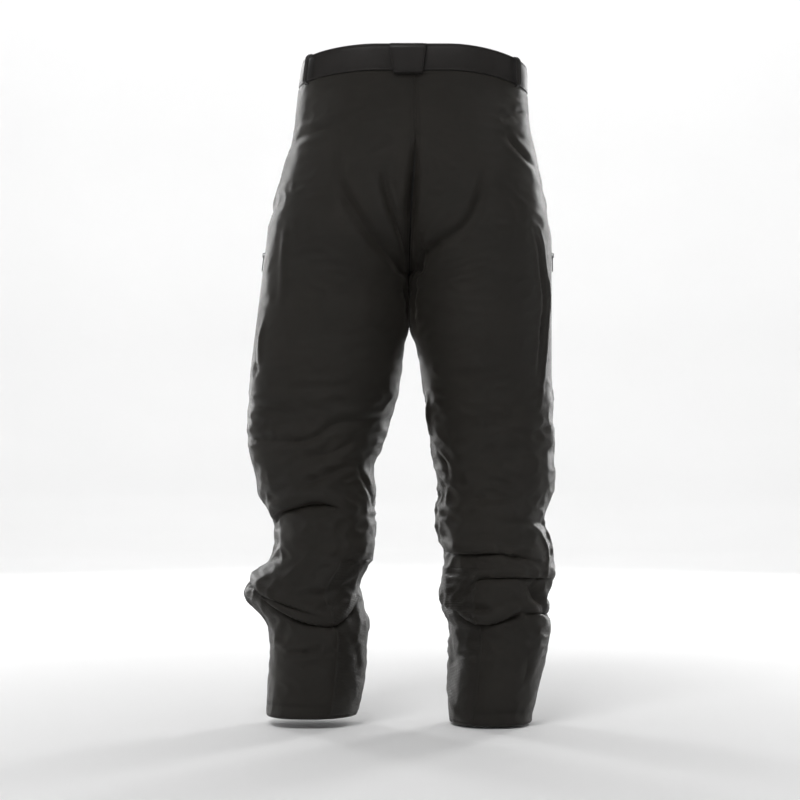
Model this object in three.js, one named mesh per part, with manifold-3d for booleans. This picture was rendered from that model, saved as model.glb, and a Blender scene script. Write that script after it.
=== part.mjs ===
// Insulated ski pants in the shape they hold when worn: a waistband with belt loops and
// a snap tab, two legs sewn from back, thigh, knee and shin panels, five zips, pocket
// bags, ankle scuff guards and inner snow gaiters.
//
// Millimetres. +Z is up, +Y is the way the wearer faces, +X is the wearer's right.
// The origin is the centre of the waist opening, midway between its sides and between its
// front and back. The waist edge rises above it at the back and the garment hangs below.
//
// The garment's surface is written once, as onGarment(leg, level, u, grow):
//   level  distance above the waist edge, so it is negative all the way down
//   u      0 at the centre front or inseam, 0.5 at the side seam, 1 at the centre back
//          or inseam, in shares of the way round
//   grow   distance outside the shell fabric, negative towards the wearer
// Every sewn piece is a patch of that surface between two values of grow.

import * as THREE from "three";
import { mergeVertices } from "three/addons/utils/BufferGeometryUtils.js";
import Module from "manifold-3d";

const wasm = await Module();
wasm.setup();

function steps(from, to, count) {
  return Array.from({ length: count + 1 }, (_, i) => from + ((to - from) * i) / count);
}

// ---- Driving dimensions ------------------------------------------------------------

const WALL = 3; // shell fabric, padding and lining, sewn as one layer
const GAP = 0.3; // air between neighbouring pieces
const ROW_STEP = 27; // most that one row of facets may span on the long panels
const PANEL_COLUMNS = 8; // columns of facets from a centre seam or inseam to a side seam

const CROTCH = -325; // height of the crotch seam
const FRONT_RISE = 105; // height over which the front seam curves down to the crotch
const BACK_RISE = 195; // the same at the seat
const SPLIT_RAMP = 12; // height over which the legs part below the crotch
const CROTCH_ROWS = [0, 3, 11, 26]; // rows of facets close above the crotch
const ABOVE_WAIST = 5; // the surface goes on this far above the waist edge

const WAIST_DIP_FRONT = 18; // how far the waist edge drops at the centre front
const WAIST_LIFT_BACK = 11; // and climbs at the centre back
const WAIST_EASE = 180; // height over which that slant fades out below the band
const WAIST_LEVEL_U = 0.11; // the waist edge stays level from the centre to here
const HEM_LIFT_FRONT = 14; // the hem is cut higher over the instep
const HEM_EASE = 140;

const KNEE_TOP = -470; // seams above and below the shaped knee panel
const KNEE_BOTTOM = -655;

const BAND_HEIGHT = 39; // waistband
const BAND_PROUD = 1.2; // how far it stands out from the panels below
const BAND_WALL = 3.5;
const BAND_US = steps(0.13, 0.96, 24); // columns of facets round one half of the waist
const FACING_WALL = 1.5;

const TAB_END = 38; // the snap tab runs from its hinge across the centre front to here
const TAB_WALL = 3;
const TAB_HINGE = { x: -45.5, inset: 1 }; // inset from the band's outer face
const TAB_SLOT = 0.4; // clearance round the hinged edge
const TAB_CORNER = 9;
const UNDERLAP = { start: -6, end: -39.5 }; // flat end of the band that runs under the tab
const SNAPS = [-12, 24]; // places of the two snaps along the tab
const SNAP = {
  capRadius: 7.5,
  capWall: 1.6,
  socketRadius: 6,
  socketBore: 2.7,
  socketWall: 2,
  studRadius: 6,
  studBase: 1,
  postRadius: 2.2,
};

const LOOP = {
  wall: 1.8,
  standoff: 5.9,
  width: 11,
  overhang: 6,
  foot: 2.4, // reach of each end along the band's edge
  ease: 3.5, // height over which the strap leaves the band at each end
  footStep: 0.6,
  slopeStep: 0.01, // step of u over which the band's direction is measured
};
const BACK_LOOP = { x: -8, u: 0.97, topWidth: 55, bottomWidth: 42 };
const FRONT_LOOP_X = 70;
const SIDE_LOOP_X = 148; // how far the loops behind the hips lie from the centre

const ZIP = {
  slot: 11, // opening between the fabric edges
  tapeWidth: 27,
  tapeWall: 1,
  tapeTail: 8, // tape beyond each end of the slot
  chainWidth: 5.6,
  chainWall: 2.2,
  endStop: 3, // length of chain above the slider when the zip is closed
};
const SLIDER = {
  length: 12,
  width: 9.4,
  tailWidth: 7.4,
  noseShare: 0.7, // of the width, at the upper end
  widestAt: 0.4, // of the half length, above the middle
  flangeEnd: 0.9, // of the half length, below the middle
  plate: 1.3,
  bridge: 2,
  bridgeReach: 3.3,
  bridgeLeg: 1.3,
  bridgeRoof: 1.1,
  window: 2.2,
};
const PULL = {
  length: 24,
  width: 6,
  wall: 1.2,
  hole: 4.8,
  holeWidth: 3.4,
  neckShare: 0.8, // of the width, at the hinge
  neckLength: 0.4, // of the length
  corner: 2,
};

const FLY_BELOW_BAND = 3; // clearance between the fly's tape and the waistband
const FLY_ABOVE_CURVE = 12; // the fly ends this far above the bend of the front seam
const POCKET_BELOW_BAND = 33; // from the waistband to the slot
const FLY = {
  top: -(WAIST_DIP_FRONT + BAND_HEIGHT + FLY_BELOW_BAND + ZIP.tapeTail),
  bottom: CROTCH + FRONT_RISE + FLY_ABOVE_CURVE,
};
const POCKET = { top: [-BAND_HEIGHT - POCKET_BELOW_BAND, 0.3], bottom: [-212, 0.415] }; // [level, u]
const VENT = { top: [-285, 0.5], bottom: [-452, 0.5] }; // the same two ends of the slot

const SHIELD = { width: 46, wall: 2, tail: 10 };
const BAG = {
  wall: 4.6,
  uMin: 0.1875,
  uMax: 0.4375,
  top: POCKET.top[0] + 10,
  bottom: CROTCH + CROTCH_ROWS.at(-1) + 1, // the rows below that are too uneven to follow
};
const MESH = { wall: 3, halfU: 0.046, margin: 15 };

const SCUFF = { height: 225, wall: 1.4, lift: 5, frontU: 0.1875, backU: 0.8125 };
const GAITER = { height: 215, lift: 22, wall: 1.5, halfWidth: 49, halfDepth: 66 };
const ELASTIC = { height: 20, wall: 2, clearance: 1 };
const HOOK = { width: 9, height: 16, wall: 1.6, wire: 2.4, lift: 4 };

// ---- Outline of the body, as smooth profiles of height ------------------------------

// A smooth curve through [height, value] points that never overshoots them.
function profile(...points) {
  const p = points.toSorted((a, b) => a[0] - b[0]);
  const rate = p.slice(1).map((q, i) => (q[1] - p[i][1]) / (q[0] - p[i][0]));
  const slope = p.map((_, i) => {
    const [before, after] = [rate[i - 1] ?? 0, rate[i] ?? 0];
    return before * after <= 0 ? 0 : (2 * before * after) / (before + after);
  });
  return (at) => {
    const x = THREE.MathUtils.clamp(at, p[0][0], p.at(-1)[0]);
    const i = Math.max(0, p.findLastIndex((q, k) => q[0] <= x && k < p.length - 1));
    const span = p[i + 1][0] - p[i][0];
    const t = (x - p[i][0]) / span;
    const rise = p[i + 1][1] - p[i][1];
    return (
      p[i][1] +
      rise * t * t * (3 - 2 * t) +
      span * t * (1 - t) * (slope[i] * (1 - t) - slope[i + 1] * t)
    );
  };
}

// Front and back of the body and legs, as y.
const frontY = profile(
  [30, 104], [-60, 104], [-85, 105.2], [-200, 111], [-330, 107],
  [-450, 106], [-570, 114], [-650, 104], [-750, 86], [-850, 70], [-1000, 56],
);
const backY = profile(
  [30, -110], [-45, -110], [-120, -131], [-180, -139], [-240, -138], [-330, -121],
  [-450, -94], [-570, -68], [-650, -78], [-750, -98], [-850, -106], [-1000, -104],
);
// Where the front-most and back-most points lie, as a share of the way from the inner
// to the outer side. The waist is flat across the centre front and centre back.
const frontShare = profile([0, 0.33], [-60, 0.33], [-215, 0.37], [-330, 0.48], [-420, 0.5]);
const backShare = profile([0, 0.33], [-45, 0.33], [-170, 0.44], [-330, 0.5]);
// The centre seam wanders a little from the plane x = 0.
const sway = profile([0, 0], [-130, 3], [-230, -3], [-320, -6], [-600, -6], [-1000, -3]);

// Each leg's outer side is a distance from x = 0, and its inner side one from the seam.
const LEFT = {
  name: "left",
  side: -1,
  waistDip: 4, // how far the waist edge drops at this side
  hem: -978,
  outer: profile(
    [30, 160], [0, 163], [-60, 173], [-110, 178], [-200, 203], [-285, 220], [-370, 231],
    [-455, 242], [-560, 249], [-640, 234], [-705, 206], [-735, 209], [-800, 247],
    [-855, 213], [-1000, 219],
  ),
  inner: profile(
    [-325, 1.5], [-400, 2.5], [-450, 9], [-500, 17], [-560, 34], [-612, 53],
    [-735, 51], [-790, 76], [-850, 66], [-930, 71], [-1000, 84],
  ),
};
const RIGHT = {
  name: "right",
  side: 1,
  waistDip: 13,
  hem: -988,
  outer: profile(
    [30, 165], [0, 168], [-60, 171], [-110, 176], [-160, 187], [-220, 197], [-290, 207],
    [-470, 208], [-520, 212], [-640, 212], [-690, 196], [-755, 212], [-810, 200],
    [-850, 204], [-900, 196], [-1000, 176],
  ),
  inner: profile(
    [-325, 1.5], [-400, 3], [-450, 14], [-500, 22], [-560, 28], [-650, 41],
    [-700, 39], [-740, 51], [-810, 45], [-860, 61], [-1000, 55],
  ),
};
const LEGS = [LEFT, RIGHT];

// ---- The garment's surface ----------------------------------------------------------

const SEAM_SHARE = 0.0005; // share of u left open on each side of a lengthwise seam
const ROUNDNESS = 2.25; // exponent of the section's superellipse corners
const ARC_STEPS = 20;
const smooth = (t) => THREE.MathUtils.smoothstep(t, 0, 1);

// A quarter of a superellipse from a to b. It leaves a along y and reaches b along x,
// or the other way round when `flip` is true.
function quarter(a, b, flip, exponent) {
  return Array.from({ length: ARC_STEPS + 1 }, (_, i) => {
    const turn = (i / ARC_STEPS) * (Math.PI / 2);
    const c = Math.max(0, Math.cos(turn)) ** (2 / exponent);
    const s = Math.sin(turn) ** (2 / exponent);
    return flip
      ? [a[0] + (b[0] - a[0]) * s, b[1] + (a[1] - b[1]) * c]
      : [b[0] + (a[0] - b[0]) * c, a[1] + (b[1] - a[1]) * s];
  });
}

// One half of the section at height z: [front half, back half], each a line of points
// whose x is a distance from the centre seam.
function section(leg, z, grow) {
  const crotch = CROTCH - grow;
  const inner = GAP / 2 + smooth((crotch - z) / SPLIT_RAMP) * (leg.inner(z) - grow);
  const outer = leg.outer(z) + grow;
  const front = frontY(z) + grow;
  const back = backY(z) - grow;
  const middle = (frontY(z) + backY(z)) / 2;
  const seamReach = (rise) => {
    const s = THREE.MathUtils.clamp((z - crotch) / rise, 0, 1);
    return Math.sqrt(1 - (1 - s) ** 2);
  };
  const start = [inner, middle + (front - middle) * seamReach(FRONT_RISE)];
  const foremost = [inner + (outer - inner) * frontShare(z), front];
  const outermost = [outer, middle];
  const rearmost = [inner + (outer - inner) * backShare(z), back];
  const end = [inner, middle + (back - middle) * seamReach(BACK_RISE)];
  return [
    [
      ...quarter(start, foremost, false, 2),
      ...quarter(foremost, outermost, true, ROUNDNESS),
    ],
    [
      ...quarter(outermost, rearmost, false, ROUNDNESS),
      ...quarter(rearmost, end, true, 2),
    ],
  ];
}

// The point at a share of the way along a line of points.
function along(line, share) {
  const lengths = [0];
  for (let i = 1; i < line.length; i++) {
    const step = Math.hypot(line[i][0] - line[i - 1][0], line[i][1] - line[i - 1][1]);
    lengths.push(lengths[i - 1] + step);
  }
  const target = THREE.MathUtils.clamp(share, 0, 1) * lengths.at(-1);
  const i = Math.max(1, lengths.findIndex((l) => l >= target));
  const t = (target - lengths[i - 1]) / (lengths[i] - lengths[i - 1] || 1);
  return line[i - 1].map((a, k) => a + (line[i][k] - a) * t);
}

// Height of a point of the garment: levels slant at the waist and over the instep.
function heightOf(leg, level, u) {
  const centre = u < 0.5 ? -WAIST_DIP_FRONT : WAIST_LIFT_BACK;
  const fromSide = Math.abs(u - 0.5) / (0.5 - WAIST_LEVEL_U);
  const waist = THREE.MathUtils.lerp(-leg.waistDip, centre, smooth(fromSide));
  const nearWaist = smooth((level + BAND_HEIGHT + WAIST_EASE) / WAIST_EASE);
  const instep = u < 0.5 ? Math.sin(2 * Math.PI * u) ** 2 : 0;
  const nearHem = smooth((leg.hem + HEM_EASE - level) / HEM_EASE);
  return level + waist * nearWaist + HEM_LIFT_FRONT * instep * nearHem;
}

// The smooth surface, before it is divided into facets.
function smoothPoint(leg, level, u, grow) {
  const z = heightOf(leg, level, u);
  const [frontHalf, backHalf] = section(leg, z, grow);
  const [x, y] = u <= 0.5 ? along(frontHalf, 2 * u) : along(backHalf, 2 * u - 1);
  const shift = sway(z) * (1 - x / leg.outer(z));
  return new THREE.Vector3(leg.side * x + shift, y, z);
}

// All pieces share one grid of facets, so that a piece laid on or under another follows
// its facets exactly.
const rowsBetween = (from, to) => steps(from, to, Math.ceil(Math.abs(to - from) / ROW_STEP));
const increasing = (values) => [...new Set(values)].toSorted((a, b) => a - b);

const U_GRID = steps(0, 1, 2 * PANEL_COLUMNS);
for (const leg of LEGS) {
  leg.levels = increasing([
    ...rowsBetween(leg.hem, KNEE_BOTTOM),
    ...rowsBetween(KNEE_BOTTOM, KNEE_TOP),
    ...rowsBetween(KNEE_TOP, CROTCH - SPLIT_RAMP),
    ...CROTCH_ROWS.map((rise) => CROTCH + rise),
    ...rowsBetween(CROTCH + CROTCH_ROWS.at(-1), -BAND_HEIGHT),
    0,
    ABOVE_WAIST,
  ]);
}

// The grid lines strictly inside a stretch, with the stretch's own ends.
const within = (grid, from, to) => [from, ...grid.filter((g) => g > from && g < to), to];

// A point of the faceted surface.
function onGarment(leg, level, u, grow = 0) {
  const cell = (grid, at) => {
    const i = THREE.MathUtils.clamp(grid.findLastIndex((g) => g <= at), 0, grid.length - 2);
    return [grid[i], grid[i + 1], (at - grid[i]) / (grid[i + 1] - grid[i])];
  };
  const [low, high, rise] = cell(leg.levels, level);
  const [left, right, share] = cell(U_GRID, u);
  const edge = (l) =>
    smoothPoint(leg, l, left, grow).lerp(smoothPoint(leg, l, right, grow), share);
  return edge(low).lerp(edge(high), rise);
}

// ---- Solids -------------------------------------------------------------------------

// A geometry of positions only, as a manifold-3d solid.
function solidOf(geometry) {
  const bare = geometry.index ? geometry.toNonIndexed() : geometry.clone();
  bare.deleteAttribute("normal");
  bare.deleteAttribute("uv");
  const merged = mergeVertices(bare, 1e-4);
  return new wasm.Manifold(
    new wasm.Mesh({
      numProp: 3,
      vertProperties: new Float32Array(merged.attributes.position.array),
      triVerts: new Uint32Array(merged.index.array),
    }),
  );
}

function geometryOf(solid) {
  const { vertProperties, triVerts, numProp, numVert } = solid.getMesh();
  const positions = new Float32Array(numVert * 3);
  for (let i = 0; i < numVert; i++) {
    positions.set(vertProperties.subarray(i * numProp, i * numProp + 3), 3 * i);
  }
  const geometry = new THREE.BufferGeometry();
  geometry.setAttribute("position", new THREE.BufferAttribute(positions, 3));
  geometry.setIndex(new THREE.BufferAttribute(new Uint32Array(triVerts), 1));
  geometry.computeVertexNormals();
  return geometry;
}

// Six times the volume inside a list of triangles, negative if they face inwards.
function signedVolume(points, triangles) {
  return triangles.reduce((sum, [a, b, c]) => {
    const cross = new THREE.Vector3().crossVectors(points[b], points[c]);
    return sum + points[a].dot(cross);
  }, 0);
}

// The closed solid between two skins, each a grid of points [row][column]. A ring's last
// column joins its first.
function slab(outer, inner, ring = false) {
  const rows = outer.length;
  const columns = outer[0].length;
  const points = [...outer.flat(), ...inner.flat()];
  const at = (skin, r, c) => skin * rows * columns + r * columns + (c % columns);
  const triangles = [];
  const quad = (a, b, c, d) => triangles.push([a, b, c], [a, c, d]);
  const lastColumn = ring ? columns : columns - 1;
  for (let r = 0; r < rows - 1; r++) {
    for (let c = 0; c < lastColumn; c++) {
      quad(at(0, r, c), at(0, r, c + 1), at(0, r + 1, c + 1), at(0, r + 1, c));
      quad(at(1, r, c), at(1, r + 1, c), at(1, r + 1, c + 1), at(1, r, c + 1));
    }
    if (!ring) {
      const c = columns - 1;
      quad(at(0, r, 0), at(0, r + 1, 0), at(1, r + 1, 0), at(1, r, 0));
      quad(at(0, r, c), at(1, r, c), at(1, r + 1, c), at(0, r + 1, c));
    }
  }
  for (let c = 0; c < lastColumn; c++) {
    const r = rows - 1;
    quad(at(0, 0, c), at(1, 0, c), at(1, 0, c + 1), at(0, 0, c + 1));
    quad(at(0, r, c), at(0, r, c + 1), at(1, r, c + 1), at(1, r, c));
  }
  if (signedVolume(points, triangles) < 0) triangles.forEach((t) => t.reverse());
  const geometry = new THREE.BufferGeometry().setFromPoints(points);
  geometry.setIndex(triangles.flat());
  return solidOf(geometry);
}

// A patch of the garment's surface with a wall between two values of grow.
// Levels and us are each given as [lowest, highest].
function patch(leg, levels, us, growOuter, growInner) {
  const skin = (grow) =>
    within(leg.levels, ...levels).map((level) =>
      within(U_GRID, ...us).map((u) => onGarment(leg, level, u, grow)),
    );
  return slab(skin(growOuter), skin(growInner));
}

// A box given by its two corners in the frame of a matrix.
function boxIn(matrix, low, high) {
  const size = high.map((h, i) => h - low[i]);
  const middle = high.map((h, i) => (h + low[i]) / 2);
  const box = new THREE.BoxGeometry(...size).translate(...middle);
  return solidOf(box.applyMatrix4(matrix));
}

// A round disc or post whose axis is +Y, from y0 to y1.
function disc(radius, x, z, y0, y1, segments = 24) {
  const cylinder = new THREE.CylinderGeometry(radius, radius, y1 - y0, segments);
  return solidOf(cylinder.translate(x, (y0 + y1) / 2, z));
}

// ---- Materials ----------------------------------------------------------------------

const cloth = (color, roughness) =>
  new THREE.MeshStandardMaterial({ color, roughness, metalness: 0 });
const MATERIALS = {
  shell: cloth(0x2b2926, 0.72),
  band: cloth(0x2e2c29, 0.75),
  lining: cloth(0x3a3b3d, 0.6),
  mesh: cloth(0x1f1f20, 0.85),
  scuff: cloth(0x1d1c1b, 0.55),
  webbing: cloth(0x232221, 0.8),
  tape: cloth(0x191919, 0.5),
  plastic: cloth(0x141414, 0.4),
  metal: new THREE.MeshStandardMaterial({ color: 0x3c3c3e, roughness: 0.35, metalness: 0.9 }),
};

const pants = new THREE.Group();

function add(name, solid, material, parent = pants) {
  const mesh = new THREE.Mesh(geometryOf(solid), MATERIALS[material]);
  mesh.name = name;
  parent.add(mesh);
  return mesh;
}

// ---- Zips ---------------------------------------------------------------------------

// The frame of a straight zip: x runs up along it, z points out of the fabric, and the
// origin is the lower end of its slot on the fabric's outer face.
function zipFrame(bottom, top, outward) {
  const x = top.clone().sub(bottom).normalize();
  const z = outward.clone().addScaledVector(x, -outward.dot(x)).normalize();
  const y = new THREE.Vector3().crossVectors(z, x);
  const matrix = new THREE.Matrix4().makeBasis(x, y, z).setPosition(bottom);
  return { matrix, length: bottom.distanceTo(top) };
}

// The fabric's outward direction at a point of the garment.
function outwardAt(leg, level, u) {
  const outside = onGarment(leg, level, u, WALL);
  return outside.sub(onGarment(leg, level, u, -WALL)).normalize();
}

const TAPE_TOP = -(WALL + GAP); // heights above the fabric's outer face
const TAPE_BOTTOM = TAPE_TOP - ZIP.tapeWall;
const CHAIN_BOTTOM = TAPE_TOP + GAP;
const CHAIN_TOP = CHAIN_BOTTOM + ZIP.chainWall;
const PLATE_BOTTOM = CHAIN_TOP + GAP;
const PLATE_TOP = PLATE_BOTTOM + SLIDER.plate;
const PULL_AXIS = PLATE_TOP + SLIDER.window / 2;

const CUT_IN = 4 * WALL; // how far the cutters below reach past the fabric, inwards
const CUT_OUT = 6 * WALL;
const CUT_OVER = 8 * WALL;
const SINK = 0.2; // overlap that joins two solids into one
const FLUSH = 0.05; // and the least that keeps one of them inside the other's outline

// What a zip's slot and tape take out of the fabric round them.
function zipCutter({ matrix, length }) {
  const half = ZIP.slot / 2;
  const tape = ZIP.tapeWidth / 2 + GAP;
  const tail = ZIP.tapeTail + GAP;
  const slot = boxIn(matrix, [0, -half, -CUT_IN], [length, half, CUT_OUT]);
  const low = [-tail, -tape, TAPE_BOTTOM - CUT_IN];
  return slot.add(boxIn(matrix, low, [length + tail, tape, TAPE_TOP + GAP]));
}

// The room that a zip's tape needs in whatever lies under it.
function tapeCutter({ matrix, length }) {
  const tape = ZIP.tapeWidth / 2 + GAP;
  const tail = ZIP.tapeTail + GAP;
  const low = [-tail, -tape, TAPE_BOTTOM - GAP];
  return boxIn(matrix, low, [length + tail, tape, TAPE_TOP + CUT_OVER]);
}

// Slider body: a tapered plate over the chain, a flange down each side of it and the
// bridge that carries the pull. Its middle is at x = 0.
function sliderSolid() {
  const { plate, bridge, bridgeReach, bridgeLeg, window } = SLIDER;
  const [half, tail] = [SLIDER.width / 2, SLIDER.tailWidth / 2];
  const reach = SLIDER.length / 2;
  const widest = reach * SLIDER.widestAt;
  const nose = half * SLIDER.noseShare;
  const outline = new THREE.Shape();
  outline.moveTo(-reach, -tail);
  outline.lineTo(widest, -half);
  outline.lineTo(reach, -nose);
  outline.lineTo(reach, nose);
  outline.lineTo(widest, half);
  outline.lineTo(-reach, tail);
  const top = new THREE.ExtrudeGeometry(outline, { depth: plate, bevelEnabled: false });
  const here = new THREE.Matrix4();
  const flangeInner = ZIP.chainWidth / 2 + GAP;
  const flange = (side) => {
    const ys = [side * flangeInner, side * (tail - FLUSH)].toSorted((a, b) => a - b);
    const low = [-reach * SLIDER.flangeEnd, ys[0], CHAIN_BOTTOM + GAP];
    return boxIn(here, low, [widest, ys[1], PLATE_BOTTOM + SINK]);
  };
  const roof = PLATE_TOP + window;
  const arch = boxIn(
    here,
    [-bridgeReach, -bridge / 2, PLATE_TOP - SINK],
    [bridgeReach, bridge / 2, roof + SLIDER.bridgeRoof],
  );
  const opening = boxIn(
    here,
    [-bridgeReach + bridgeLeg, -bridge, PLATE_TOP],
    [bridgeReach - bridgeLeg, bridge, roof],
  );
  return solidOf(top.translate(0, 0, PLATE_BOTTOM))
    .add(flange(1))
    .add(flange(-1))
    .add(arch.subtract(opening));
}

// Pull tab, hanging down from its hinge bar at the origin.
function pullSolid() {
  const { length, width, wall, hole, holeWidth } = PULL;
  const [half, round, bar] = [width / 2, PULL.corner, wall / 2];
  const neck = half * PULL.neckShare;
  const tab = new THREE.Shape();
  tab.moveTo(bar, -neck);
  tab.lineTo(bar, neck);
  tab.lineTo(-length * PULL.neckLength, neck);
  tab.lineTo(-length + round, half);
  tab.absarc(-length + round, half - round, round, Math.PI / 2, Math.PI);
  tab.absarc(-length + round, round - half, round, Math.PI, (3 * Math.PI) / 2);
  const eye = new THREE.Path();
  eye.moveTo(-bar, -holeWidth / 2);
  eye.lineTo(-bar - hole, -holeWidth / 2);
  eye.lineTo(-bar - hole, holeWidth / 2);
  eye.lineTo(-bar, holeWidth / 2);
  tab.holes.push(eye);
  const options = { depth: wall, bevelEnabled: false, curveSegments: 4 };
  return solidOf(new THREE.ExtrudeGeometry(tab, options).translate(0, 0, -wall / 2));
}

// Adds a zip's tape, chain, slider and pull. The names go before an optional suffix.
function addZip(prefix, suffix, { matrix, length }) {
  const group = new THREE.Group();
  group.applyMatrix4(matrix);
  pants.add(group);
  const here = new THREE.Matrix4();
  const tape = boxIn(
    here,
    [-ZIP.tapeTail, -ZIP.tapeWidth / 2, TAPE_BOTTOM],
    [length + ZIP.tapeTail, ZIP.tapeWidth / 2, TAPE_TOP],
  );
  const chain = boxIn(
    here,
    [GAP, -ZIP.chainWidth / 2, CHAIN_BOTTOM],
    [length - GAP, ZIP.chainWidth / 2, CHAIN_TOP],
  );
  add(`${prefix}_tape${suffix}`, tape, "tape", group);
  add(`${prefix}_chain${suffix}`, chain, "plastic", group);
  const slider = add(`${prefix}_slider${suffix}`, sliderSolid(), "metal", group);
  slider.position.x = length - ZIP.endStop - SLIDER.length / 2;
  const pull = add(`${prefix}_pull${suffix}`, pullSolid(), "plastic", group);
  pull.position.set(slider.position.x, 0, PULL_AXIS);
}

function flyFrame() {
  const at = (z) => new THREE.Vector3(sway((FLY.top + FLY.bottom) / 2), frontY(z), z);
  return zipFrame(at(FLY.bottom), at(FLY.top), new THREE.Vector3(0, 1, 0));
}

// The frame of a zip whose slot ends at two [level, u] places of one leg.
function legZipFrame(leg, { top, bottom }) {
  const middle = top.map((t, i) => (t + bottom[i]) / 2);
  return zipFrame(onGarment(leg, ...bottom), onGarment(leg, ...top), outwardAt(leg, ...middle));
}

// ---- Leg panels ---------------------------------------------------------------------

function panel(leg, bottom, top, uMin, uMax) {
  const levels = [bottom + GAP / 2, top - GAP / 2];
  return patch(leg, levels, [uMin + SEAM_SHARE, uMax - SEAM_SHARE], 0, -WALL);
}

function addLeg(leg, fly) {
  const name = (piece) => `${piece}_${leg.name}`;
  const pocket = legZipFrame(leg, POCKET);
  const vent = legZipFrame(leg, VENT);
  const waistSeam = -BAND_HEIGHT - GAP;
  const back = panel(leg, leg.hem, waistSeam, 0.5, 1);
  const thigh = panel(leg, KNEE_TOP, waistSeam, 0, 0.5);
  add(name("back_panel"), back.subtract(zipCutter(vent)), "shell");
  add(
    name("front_thigh_panel"),
    thigh.subtract(zipCutter(vent)).subtract(zipCutter(pocket)).subtract(zipCutter(fly)),
    "shell",
  );
  add(name("knee_panel"), panel(leg, KNEE_BOTTOM, KNEE_TOP, 0, 0.5), "shell");
  add(name("shin_panel"), panel(leg, leg.hem, KNEE_BOTTOM, 0, 0.5), "shell");
  addZip("pocket_zip", `_${leg.name}`, pocket);
  addZip("vent_zip", `_${leg.name}`, vent);

  const under = -(WALL + GAP);
  const bag = patch(leg, [BAG.bottom, BAG.top], [BAG.uMin, BAG.uMax], under, under - BAG.wall);
  add(name("pocket_bag"), bag.subtract(tapeCutter(pocket)), "lining");
  const mesh = patch(
    leg,
    [VENT.bottom[0] - MESH.margin, VENT.top[0] + MESH.margin],
    [0.5 - MESH.halfU, 0.5 + MESH.halfU],
    under,
    under - MESH.wall,
  );
  add(name("vent_mesh"), mesh.subtract(tapeCutter(vent)), "mesh");
  addScuffGuard(leg);
  addGaiter(leg);
}

// The tough patch on the inside of the ankle. It wraps round the inseam.
function addScuffGuard(leg) {
  const bottom = leg.hem + SCUFF.lift;
  const us = [...within(U_GRID, SCUFF.backU, 1), ...within(U_GRID, 0, SCUFF.frontU).slice(1)];
  const skin = (grow) =>
    within(leg.levels, bottom, bottom + SCUFF.height).map((level) =>
      us.map((u) => onGarment(leg, level, u, grow)),
    );
  const solid = slab(skin(GAP + SCUFF.wall), skin(GAP));
  add(`scuff_guard_${leg.name}`, solid, "scuff");
}

// The inner cuff that seals round the boot: a tube that starts on the lining and narrows
// to an elastic hem, with a lace hook at its front.
function addGaiter(leg) {
  const bottom = leg.hem + GAITER.lift;
  const top = bottom + GAITER.height;
  const us = U_GRID.slice(0, -1);
  const base = onGarment(leg, bottom, 0.5);
  const inseam = onGarment(leg, bottom, 0);
  const centre = base.clone().add(inseam).multiplyScalar(0.5);
  const ankle = (u, grow, z) => {
    const turn = 2 * Math.PI * u;
    const x = centre.x - leg.side * (GAITER.halfWidth + grow) * Math.cos(turn);
    return new THREE.Vector3(x, centre.y + (GAITER.halfDepth + grow) * Math.sin(turn), z);
  };
  const skin = (grow) =>
    within(leg.levels, bottom, top).map((level) =>
      us.map((u) => {
        const lining = onGarment(leg, level, u, grow - WALL - GAP);
        const share = smooth((level - bottom - ELASTIC.height) / (top - bottom - ELASTIC.height));
        return ankle(u, grow, lining.z).lerp(lining, share);
      }),
    );
  add(`gaiter_${leg.name}`, slab(skin(0), skin(-GAITER.wall), true), "lining");

  const ring = (grow) =>
    [bottom + GAP, bottom + ELASTIC.height - ELASTIC.clearance].map((level) =>
      us.map((u) => ankle(u, grow, heightOf(leg, level, u))),
    );
  const band = slab(ring(GAP + ELASTIC.wall), ring(GAP), true);
  add(`gaiter_elastic_${leg.name}`, band, "webbing");
  const front = 0.25; // u
  addHook(leg, ankle(front, 2 * GAP + ELASTIC.wall, heightOf(leg, bottom + HOOK.lift, front)));
}

// A lace hook on the front of the gaiter's elastic: a plate whose foot turns up.
function addHook(leg, foot) {
  const { width, height, wall, wire } = HOOK;
  const side = new THREE.Shape();
  const points = [
    [0, height], [wall, height], [wall, wall], [wall + wire, wall],
    [wall + wire, height / 2], [2 * wall + wire, height / 2], [2 * wall + wire, 0], [0, 0],
  ];
  side.setFromPoints(points.map(([y, z]) => new THREE.Vector2(y, z)));
  const extruded = new THREE.ExtrudeGeometry(side, { depth: width, bevelEnabled: false });
  // The outline's x and y become +Y and +Z, and the extrusion runs along +X.
  const turned = new THREE.Matrix4().makeBasis(
    new THREE.Vector3(0, 1, 0),
    new THREE.Vector3(0, 0, 1),
    new THREE.Vector3(1, 0, 0),
  );
  extruded.applyMatrix4(turned).translate(foot.x - width / 2, foot.y, foot.z);
  add(`gaiter_hook_${leg.name}`, solidOf(extruded), "metal");
}

// ---- Waistband ----------------------------------------------------------------------

// The u nearest the centre front, or the centre back, where the waist lies a distance x
// from the centre.
function uAtX(leg, x, behind = false) {
  const distance = (u) => Math.abs(smoothPoint(leg, 0, u, 0).x);
  const us = steps(0, 0.5, 500).map((u) => (behind ? 1 - u : u));
  return us.find((u) => distance(u) >= Math.abs(x));
}

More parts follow.
